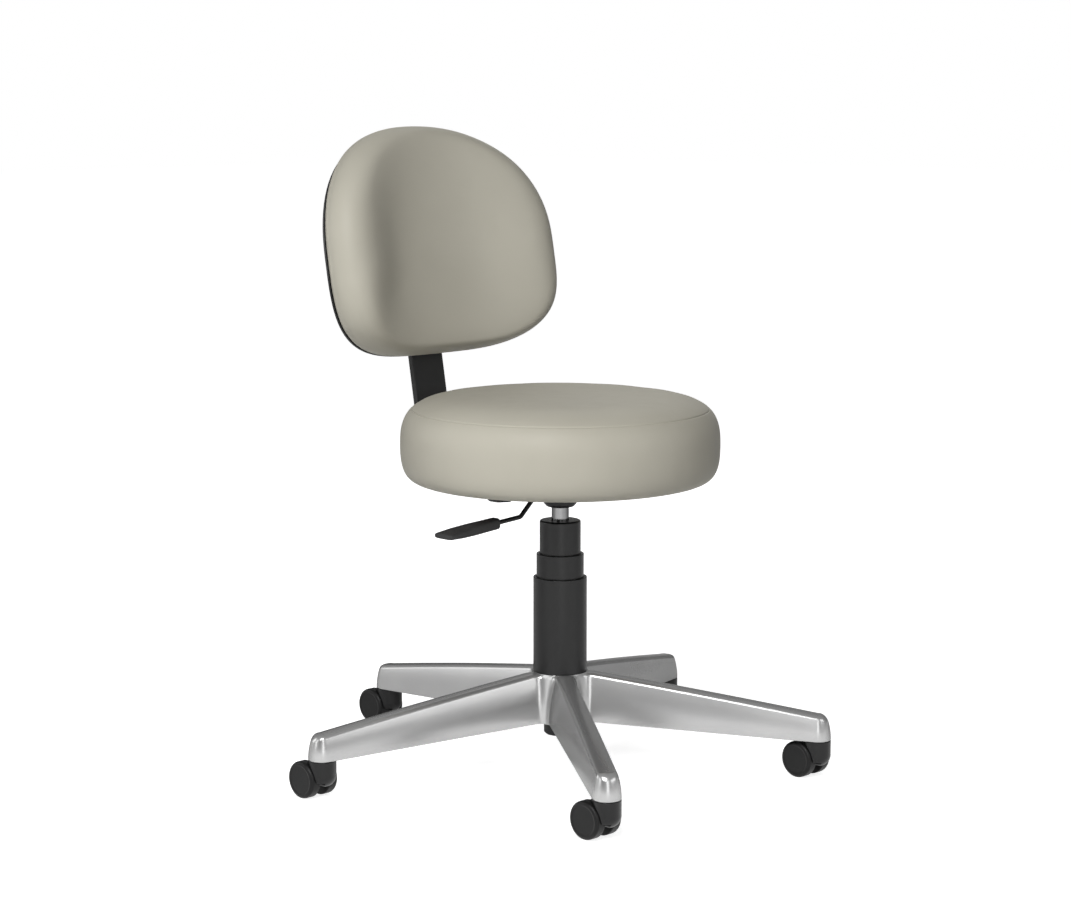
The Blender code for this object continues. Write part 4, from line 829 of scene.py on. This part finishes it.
def seat_profile(grow):
    """The cushion's side from its crown to its flat underside, drawn in by the room it has to swell."""
    radius = SEAT_RADIUS - grow
    top = SEAT_CROWN - SEAT_EQUATOR - grow
    drop = SEAT_EQUATOR - SEAT_LOW

    def upper(angle):
        out = math.cos(angle) ** (2 / SEAT_UPPER[0])
        return Vector((radius * out, SEAT_EQUATOR + top * math.sin(angle) ** (2 / SEAT_UPPER[1])))

    points = [Vector((0, SEAT_EQUATOR + top))]
    high = [89.9, 89.5, 88.8, 87.6, 85.8, 83.4, 80.4, 76.8, 72.6, 68.2, 64, 60, 56.5, 53.5, 51, 49]
    points += [upper(math.radians(a)) for a in high]
    for step, depth in ((2, 0.0), (1, 0.25), (0, 1.0), (-1, 0.25), (-2, 0.0)):
        angle = SEAM_ANGLE + step * SEAM_STEP
        along = (upper(angle - SEAM_STEP) - upper(angle + SEAM_STEP)).normalized()
        points.append(upper(angle) - Vector((-along.y, along.x)) * SEAM_DEPTH * depth)
    points += [upper(math.radians(a)) for a in (43, 41, 38, 34, 30, 25, 20, 15, 10, 5)]
    points.append(Vector((radius, SEAT_EQUATOR)))
    for a in (math.radians(d) for d in (4, 9, 15, 22, 29, 37, 45, 53, 61, 68, 74, 79)):
        out = math.cos(a) ** (2 / SEAT_LOWER[0])
        points.append(Vector((radius * out, SEAT_EQUATOR - drop * math.sin(a) ** (2 / SEAT_LOWER[1]))))
    edge = points[-1].x
    points += [Vector((edge - inset, SEAT_LOW)) for inset in (0.006, 0.014)]
    points += [Vector((r, SEAT_LOW)) for r in (0.150, 0.110, 0.070, 0.035, 0)]
    return points


def ordered_copy(piece):
    """A copy with its faces in a fixed order, so that its swelling comes out the same each run."""
    faces = []
    for face in piece.data.polygons:
        corners = list(face.vertices)
        first = corners.index(min(corners))
        faces.append(corners[first:] + corners[:first])
    mesh = bmesh.new()
    verts = [mesh.verts.new(vert.co) for vert in piece.data.vertices]
    for corners in sorted(faces):
        mesh.faces.new([verts[i] for i in corners])
    copy = bpy.data.objects.new("cover", bpy.data.meshes.new("cover"))
    mesh.to_mesh(copy.data)
    mesh.free()
    bpy.context.scene.collection.objects.link(copy)
    return copy


def puff(piece, held, most):
    """Blow a cover up like a stuffed one, with the held points fixed and no point moving too far."""
    before = [Vector(vert.co) for vert in piece.data.vertices]
    ways = [Vector(vert.normal) for vert in piece.data.vertices]
    cover = ordered_copy(piece)
    group = cover.vertex_groups.new(name="held")
    group.add([i for i, co in enumerate(before) if held(co)], 1.0, "REPLACE")
    hold(cover)
    cloth = cover.modifiers.new("stuffing", "CLOTH")
    for key, value in STUFFING.items():
        setattr(cloth.settings, key, value)
    cloth.settings.effector_weights.gravity = 0
    cloth.settings.vertex_group_mass = "held"
    for step in range(1, STUFFING_STEPS + 1):
        bpy.context.scene.frame_set(step)
    bpy.ops.object.modifier_apply(modifier=cloth.name)
    bpy.context.scene.frame_set(1)
    moved = zip(cover.data.vertices, before, ways)
    swell = [min(most, max(0.0, (vert.co - old).dot(way))) for vert, old, way in moved]
    bpy.data.objects.remove(cover, do_unlink=True)
    for _ in range(EVEN_OUT):
        total, count = list(swell), [1] * len(swell)
        for edge in piece.data.edges:
            a, b = edge.vertices
            total[a] += swell[b]
            total[b] += swell[a]
            count[a] += 1
            count[b] += 1
        swell = [whole / many for whole, many in zip(total, count)]
    for vert, old, way, rise in zip(piece.data.vertices, before, ways, swell):
        vert.co = old + way * rise


def stretch(piece, wanted):
    """Scale a mesh about the origin's axes so that each listed axis spans (low, high)."""
    for axis, (low, high) in wanted.items():
        values = [vert.co[axis] for vert in piece.data.vertices]
        first, last = min(values), max(values)
        for vert in piece.data.vertices:
            vert.co[axis] = low + (vert.co[axis] - first) * (high - low) / (last - first)


def make_seat_pad():
    """Round cushion: a crowned top panel sewn to a side band, over a board let into its underside."""
    pad = lathe("seat_pad", seat_profile(SEAT_ROOM), 128)
    puff(pad, lambda co: co.z < SEAT_LOW + 0.004, SEAT_SWELL)
    apply_modifier(pad, "SUBSURF", levels=1, render_levels=1)
    for vert in pad.data.vertices:
        band = max(0.0, 1 - abs(vert.co.z - BAND_MIDDLE) / BAND_HALF)
        around = Vector((vert.co.x, vert.co.y, vert.co.z * 0.35)) * RIPPLE_SIZE
        vert.co += vert.normal * (noise.noise(around) * RIPPLE * band)
    across = (-SEAT_RADIUS, SEAT_RADIUS)
    stretch(pad, {0: across, 1: across, 2: (SEAT_LOW, SEAT_CROWN)})
    carve(pad, plug("board_recess", BOARD_RADIUS + GAP, SEAT_LOW - TOOL_REACH, BOARD_TOP + GAP, 128))
    settle(pad, COLUMN)
    bpy.ops.object.shade_smooth_by_angle(angle=math.radians(50))
    seat_on(pad, "seat", "grey_upholstery", VINYL, "seat_cushion")


def make_lever():
    """Bent rod from the pivot out to a flat paddle."""
    drop, slope = 0.0308, math.radians(3.8)
    elbow, foot, grip_at = -0.0052, -0.0392, -0.0800
    end = grip_at - LEVER_INSIDE
    corners = [Vector((LEVER_NOSE, 0, 0)), Vector((elbow, 0, 0)), Vector((foot, 0, -drop))]
    corners.append(Vector((end, 0, -drop - (foot - end) * math.tan(slope))))
    path = [corners[0]]
    for i in (1, 2):
        a = (corners[i - 1] - corners[i]).normalized()
        b = (corners[i + 1] - corners[i]).normalized()
        reach = LEVER_BEND / math.tan(a.angle(b) / 2)
        first, last = corners[i] + a * reach, corners[i] + b * reach
        for t in shares(8):
            path.append(first * (1 - t) ** 2 + corners[i] * 2 * t * (1 - t) + last * t ** 2)
    path.append(corners[3])
    rings = []
    for i, point in enumerate(path):
        along = (path[min(i + 1, len(path) - 1)] - path[max(i - 1, 0)]).normalized()
        up = Vector((-along.z, 0, along.x))
        turns = [2 * math.pi * k / 32 for k in range(32)]
        side = Vector((0, 1, 0))
        rings.append([point + (side * math.cos(t) + up * math.sin(t)) * LEVER_RADIUS for t in turns])
    rod = loft("lever_bar", rings)
    half = 0.0045
    corners = [(0, half), (BARREL_RADIUS, half, 0.0005), (BARREL_RADIUS, -half, 0.0005), (0, -half)]
    barrel = settle(lathe("barrel", soft_profile(corners, 3), 48), rotation=(math.pi / 2, 0, 0))
    carve(rod, barrel, "UNION")
    hole = plug("pin_hole", LEVER_PIN, -TOOL_REACH, TOOL_REACH, 32)
    carve(rod, settle(hole, rotation=(math.pi / 2, 0, 0)))
    settle(rod, LEVER_PIVOT)
    soften(rod, 40)
    seat_on(rod, "lever", "black_paint", BLACK_PAINT, "lever_rod")

    neck, wide, thick, thin, long = 0.0076, 0.0160, 0.0071, 0.0038, 0.0925
    stations = [
        (0.000, neck * 0.55, thick * 0.62),
        (0.008, neck * 0.84, thick * 0.90),
        (0.030, neck, thick),
        (0.140, neck * 1.06, thick * 1.01),
        (0.250, neck * 1.15, thick),
        (0.380, neck * 1.36, thick * 0.98),
        (0.500, (neck + wide) / 2, thick * 0.95),
        (0.630, wide * 0.85, thick * 0.86),
        (0.750, wide * 0.93, (thick + thin) / 2),
        (0.860, wide * 0.98, thin * 1.18),
        (0.940, wide, thin),
        (0.975, wide * 0.975, thin * 0.95),
        (0.992, wide * 0.93, thin * 0.80),
        (1.000, wide * 0.86, thin * 0.50),
    ]
    rings = []
    for share, half_width, half_thick in stations:
        ring = []
        for k in range(48):
            c, s = math.cos(2 * math.pi * k / 48), math.sin(2 * math.pi * k / 48)
            across = half_width * math.copysign(abs(c) ** 0.5, c)
            ring.append((long * share, across, half_thick * math.copysign(abs(s) ** 0.5, s)))
        rings.append(ring)
    grip = loft("lever_paddle", rings)
    hole = plug("rod_hole", LEVER_RADIUS + GAP, -TOOL_REACH, LEVER_HOLE, 48)
    carve(grip, settle(hole, rotation=(0, math.pi / 2, 0)))
    at = LEVER_PIVOT + Vector((grip_at, 0, -drop - (foot - grip_at) * math.tan(slope)))
    settle(grip, at, (0, slope, math.pi))
    soften(grip, 40)
    # The paddle takes the lighter black: painted light.
    seat_on(grip, "lever", "black_plastic", PADDLE_LIT_BLACK, "lever_grip")


def make_under_seat():
    finer("seat_plate", "seat_bracket", "seat", "black_paint", BLACK_PAINT, edge=0.0007)
    finer("bar_bracket", "bar_channel", "seat", "black_paint", BLACK_PAINT, edge=0.0006)


# Back


def make_bar():
    """Flat bar with eased edges, from under the seat up behind the back."""
    middle = BAR_REAR + BAR_THICKNESS / 2 / math.cos(LEAN)
    knee = Vector((middle, LEG_Z))
    up = Vector((math.sin(LEAN), math.cos(LEAN)))
    reach = BAR_BEND / math.tan((math.pi / 2 + LEAN) / 2)
    first, last = knee - Vector((reach, 0)), knee + up * reach
    path = [(Vector((BAR_LEG_FRONT, LEG_Z)), Vector((1, 0)))]
    for t in shares(16):
        turn = (math.pi / 2 - LEAN) * t
        centre = first + Vector((0, BAR_BEND))
        along = Vector((math.cos(turn), math.sin(turn)))
        path.append((centre + Vector((along.y, -along.x)) * BAR_BEND, along))
    path.append((knee + up * BAR_UPRIGHT, up))
    half, thick, ease = BAR_WIDTH / 2, BAR_THICKNESS / 2, 0.0011
    section = []
    for cx, cz, turn in ((1, 1, 0), (-1, 1, 1), (-1, -1, 2), (1, -1, 3)):
        for t in shares(4):
            a = math.pi / 2 * (turn + t)
            x, z = cx * (half - ease), cz * (thick - ease)
            section.append((x + ease * math.cos(a), z + ease * math.sin(a)))
    rings = []
    for point, along in path:
        rings.append([(x, point.x - along.y * z, point.y + along.x * z) for x, z in section])
    bar = loft("upright_bar", rings)
    settle(bar, COLUMN)
    soften(bar, 25)
    seat_on(bar, "back_bar", "black_paint", BLACK_PAINT, "back_bar")


def back_outline():
    """The back's outline (across, up), from the right end over the top and round."""
    points = []
    for i in range(BACK_POINTS):
        angle = 2 * math.pi * i / BACK_POINTS
        c, s = math.cos(angle), math.sin(angle)
        tall, square = (BACK_UPPER, BACK_UPPER_SQUARE) if s >= 0 else (-BACK_LOWER, BACK_LOWER_SQUARE)
        across = math.copysign(abs(c) ** (2 / square), c)
        points.append((across * BACK_WIDTH / 2, tall * abs(s) ** (2 / square)))
    return points


def back_wrap_at(across):
    """How far the back comes forward round the sitter."""
    return BACK_WRAP - math.sqrt(BACK_WRAP ** 2 - across ** 2)


def back_ring(inset, forward, shrink=1.0, proud=0.0, lowered=0.0, raised=0.0):
    """The outline drawn in, lifted forward and wrapped round the sitter; shrink closes it up.

    proud lifts the sides only; lowered draws in the top only, and raised the bottom only.
    """
    ring = []
    for across, up in back_outline():
        top, bottom = max(0.0, up / BACK_UPPER), max(0.0, -up / BACK_LOWER)
        drawn = inset + lowered * top ** 2 + raised * bottom ** 2
        scale = (1 - drawn / math.hypot(across, up)) * shrink
        u, v = across * scale, up * scale
        side = 2 * across / BACK_WIDTH
        ring.append((u, -(forward + proud * side * side + back_wrap_at(u)), v))
    return ring


def place_back(piece):
    along = BACK_ALONG_BAR
    spot = (0, COLUMN_Y + BAR_REAR + along * math.sin(LEAN), LEG_Z + along * math.cos(LEAN))
    return settle(piece, spot, (-LEAN, 0, 0))


def make_back_pad():
    """D-shaped cushion, hollowed a little for the sitter, drawn in where it meets the shell."""
    grow = PAD_ROOM
    front = PAD_REAR + PAD_THICKNESS - grow
    rings = [back_ring(PAD_DRAW_IN, PAD_REAR, s) for s in SHRINKS]
    rings += [back_ring(PAD_DRAW_IN, PAD_REAR), back_ring(PAD_DRAW_IN * 0.55 + grow, PAD_REAR + 0.0016)]
    rings += [back_ring(PAD_DRAW_IN * 0.22 + grow, PAD_REAR + 0.0048), back_ring(grow, PAD_REAR + 0.0095)]
    for t in shares(8):
        a = math.pi / 2 * t
        edge, crest = PAD_ROLL * (1 - math.cos(a)), front - PAD_EDGE * (1 - math.sin(a))
        ends = (-PAD_TOP_EDGE * edge, -PAD_BOTTOM_EDGE * edge)
        rings.append(back_ring(grow + edge, crest, 1.0, PAD_PROUD * math.sin(a), *ends))
    for share in shares(16)[1:]:
        t = share ** 1.3
        left = math.exp(-((t / PAD_FADE) ** 2))
        level = front - PAD_HOLLOW * (1 - left)
        rings.append(back_ring(grow + PAD_ROLL, level, 1 - t, PAD_PROUD * left, *ends))
    pad = loft("back_pad", rings, capped=False)
    puff(pad, lambda co: co.y > -(PAD_REAR + 0.002) - 0.0001 - back_wrap_at(co.x), PAD_SWELL)
    apply_modifier(pad, "SUBSURF", levels=1, render_levels=1)
    stretch(pad, {0: (-BACK_WIDTH / 2, BACK_WIDTH / 2), 2: (-BACK_LOWER, BACK_UPPER)})
    inset = BACK_BOARD_INSET - GLUE_GAP
    roof = PAD_REAR + BACK_BOARD_THICKNESS + GLUE_GAP
    low = [back_ring(inset, PAD_REAR - 0.003, s) for s in SHRINKS]
    high = [back_ring(inset, roof, s) for s in reversed(SHRINKS)]
    recess = low + [back_ring(inset, PAD_REAR - 0.003), back_ring(inset, roof)] + high
    carve(pad, loft("board_recess", recess, capped=False))
    place_back(pad)
    bpy.ops.object.shade_smooth_by_angle(angle=math.radians(50))
    seat_on(pad, "back", "grey_upholstery", VINYL, "back_cushion")


def make_back_shell():
    """Thin moulded cover behind the back, rounded round its rim."""
    rear, front = SHELL_REAR, SHELL_REAR + SHELL_THICKNESS
    rings = [back_ring(0.0044, rear, s, lowered=SHELL_LOWERED) for s in SHRINKS]
    for t in shares(5):
        a = math.pi / 2 * t
        rim = SHELL_RIM + SHELL_ROUNDING * (1 - math.sin(a))
        rings.append(back_ring(rim, rear + SHELL_ROUNDING * (1 - math.cos(a)), lowered=SHELL_LOWERED))
    rings += [back_ring(SHELL_RIM, front - 0.0004, lowered=SHELL_LOWERED)]
    rings += [back_ring(0.0024, front, s, lowered=SHELL_LOWERED) for s in (1.0, *reversed(SHRINKS))]
    shell = loft("back_cover", rings, capped=False)
    place_back(shell)
    soften(shell, 40)
    seat_on(shell, "back", "black_plastic", BLACK_PLASTIC, "back_shell")


def make_back():
    make_bar()
    make_back_pad()
    make_back_shell()
    finer("back_sleeve", "bar_sleeve", "back", "black_paint", BLACK_PAINT, edge=0.0006)
    finer("height_knob", "knob_height", "height_knob", "black_plastic", BLACK_PLASTIC, angle=50)
    finer("depth_knob", "knob_depth", "depth_knob", "black_plastic", BLACK_PLASTIC, angle=50)


def dress_inner_pieces():
    """Better finishes on the CAD nodes that stay."""
    finishes = {
        "bright_steel": STEEL,
        "bush_plastic": BUSH,
        "plywood": PLYWOOD,
        "black_paint": BLACK_PAINT,
        "black_plastic": BLACK_PLASTIC,
    }
    slots = {entry["node"]: entry["material_slot"] for entry in frame["record"]["subparts"]}
    for node, piece in frame["nodes"].items():
        if slots[node] in finishes:
            piece.material_slots[0].material = finishes[slots[node]]


# Stage


def make_floor():
    """White floor that keeps the stool's soft shadow and fades to white; in the metal it shows painted shade,
    greyer behind.
    """
    deselect()
    bpy.ops.mesh.primitive_plane_add(size=40)
    floor = bpy.context.object
    floor.name = "studio_floor"
    material = bpy.data.materials.new("studio_floor")
    material.use_nodes = True
    tree = material.node_tree
    tree.nodes.clear()
    out = add(tree, "ShaderNodeOutputMaterial")
    place = add(tree, "ShaderNodeTexCoord").outputs["Object"]
    reach = add(tree, "ShaderNodeVectorMath", {0: place}, operation="LENGTH").outputs["Value"]
    glow_level = between(tree, reach, FLOOR_GLOW, 1.0, *FLOOR_FADE)
    matte = add(tree, "ShaderNodeBsdfDiffuse", {"Color": (FLOOR_TONE, FLOOR_TONE, FLOOR_TONE, 1)})
    path = add(tree, "ShaderNodeLightPath")
    way = add(tree, "ShaderNodeVectorMath", {0: place}, operation="NORMALIZE").outputs["Vector"]
    # Painted shade for glossy rays: the floor's glow is dimmer behind the stool and dimmest towards
    # FLOOR_DARK.
    behind = between(tree, facing(tree, way, FLOOR_FRONT), FLOOR_BEHIND, 1.0, -0.1, 0.6)
    dip = between(tree, facing(tree, way, FLOOR_DARK), 1.0, FLOOR_DIP, 0.80, 0.95)
    dimmed = reckon(tree, "MULTIPLY", behind, dip)
    shine = between(tree, path.outputs["Is Glossy Ray"], 1.0, dimmed, 0.0, 1.0)
    level = reckon(tree, "MULTIPLY", glow_level, shine)
    glow = add(tree, "ShaderNodeEmission", {"Color": (1, 1, 1, 1), "Strength": level})
    both = add(tree, "ShaderNodeAddShader", {0: matte.outputs[0], 1: glow.outputs[0]})
    seen = seen_share(tree, path)
    mix = add(tree, "ShaderNodeMixShader", {0: seen, 1: matte.outputs[0], 2: both.outputs[0]})
    tree.links.new(mix.outputs[0], out.inputs["Surface"])
    floor.data.materials.append(material)


def facing(tree, way, target):
    """How far a direction points the target's way, from -1 to 1."""
    return add(tree, "ShaderNodeVectorMath", {0: way, 1: target}, operation="DOT_PRODUCT").outputs["Value"]


def seen_share(tree, path):
    """1 for what the camera, a gloss or a clear piece shows, 0 for light that falls on the stool."""
    first = reckon(tree, "MAXIMUM", path.outputs["Is Camera Ray"], path.outputs["Is Glossy Ray"])
    return reckon(tree, "MAXIMUM", first, path.outputs["Is Transmission Ray"])


def make_world():
    """White for the camera, white with a grey ceiling in the metal, and a faint even light."""
    world = bpy.data.worlds.new("studio")
    bpy.context.scene.world = world
    world.use_nodes = True
    tree = world.node_tree
    tree.nodes.clear()
    out = add(tree, "ShaderNodeOutputWorld")
    way = add(tree, "ShaderNodeSeparateXYZ", {0: add(tree, "ShaderNodeTexCoord").outputs["Generated"]})
    path = add(tree, "ShaderNodeLightPath")
    overhead = between(tree, way.outputs["Z"], 1.0, CEILING, *HORIZON)
    level = reckon(tree, "MAXIMUM", overhead, path.outputs["Is Camera Ray"])
    room = add(tree, "ShaderNodeBackground", {"Color": (1, 1, 1, 1), "Strength": ROOM_LIGHT})
    white = add(tree, "ShaderNodeBackground", {"Color": (1, 1, 1, 1), "Strength": level})
    seen = seen_share(tree, path)
    mix = add(tree, "ShaderNodeMixShader", {0: seen, 1: room.outputs[0], 2: white.outputs[0]})
    tree.links.new(mix.outputs[0], out.inputs["Surface"])


def softbox(name, turn, lift, size, power, shine_only=False, fill_only=False):
    """A soft lamp on a circle round the stool, facing it; turn and lift are in degrees."""
    turn, lift = math.radians(turn), math.radians(lift)
    way = Vector((math.cos(turn) * math.cos(lift), math.sin(turn) * math.cos(lift), math.sin(lift)))
    deselect()
    bpy.ops.object.light_add(type="AREA", location=LAMP_AIM + way * LAMP_REACH)
    lamp = bpy.context.object
    lamp.name = name
    lamp.data.shape = "RECTANGLE"
    lamp.data.size, lamp.data.size_y = size
    lamp.data.energy = power
    lamp.rotation_euler = way.to_track_quat("Z", "Y").to_euler()
    lamp.visible_camera = False
    lamp.visible_diffuse = not shine_only
    lamp.visible_glossy = not fill_only


def make_lights():
    softbox("key_lamp", 211, 36, (1.3, 1.3), 64)
    softbox("front_strip", 234, 8, (0.8, 1.6), 9)
    softbox("left_strip", 167, 12, (0.9, 1.4), 8)
    softbox("rear_left_shine", 130, 14, (1.4, 1.4), 13, shine_only=True)
    softbox("right_shine", 281, 17, (2.0, 1.2), 16, shine_only=True)
    softbox("rear_fill", 42, 34, (1.8, 1.8), 30, fill_only=True)


def dark_card(name, turn, low, width, height):
    """A dark upright card out of the picture, for dark lines in the metal."""
    turn = math.radians(turn)
    deselect()
    bpy.ops.mesh.primitive_plane_add(size=1)
    card = bpy.context.object
    card.name = name
    hold(card)
    bpy.ops.transform.resize(value=(width, height, 1))
    place = (CARD_REACH * math.cos(turn), CARD_REACH * math.sin(turn), low + height / 2)
    settle(card, place, (math.pi / 2, 0, turn + math.pi / 2))
    material, tree, shader, _ = new_material(name)
    shader.inputs["Base Color"].default_value = (CARD_TONE, CARD_TONE, CARD_TONE, 1)
    shader.inputs["Roughness"].default_value = 0.9
    card.data.materials.append(material)
    card.visible_camera = False


def make_cards():
    dark_card("rear_card", 72, 0, 2.0, 0.7)
    dark_card("front_card", 203, 0.3, 1.0, 1.0)


def make_camera():
    deselect()
    bpy.ops.object.camera_add(location=CAMERA_PLACE)
    camera = bpy.context.object
    camera.rotation_euler = (math.radians(CAMERA_TILT), 0, math.radians(CAMERA_TURN))
    camera.data.sensor_fit = "HORIZONTAL"
    camera.data.sensor_width = 36
    camera.data.lens = CAMERA_LENS
    bpy.context.scene.camera = camera


make_base()
make_casters()
make_column()
make_seat_pad()
make_lever()
make_under_seat()
make_back()
dress_inner_pieces()
make_floor()
make_world()
make_lights()
make_cards()
make_camera()
bpy.context.scene.view_settings.view_transform = "Standard"
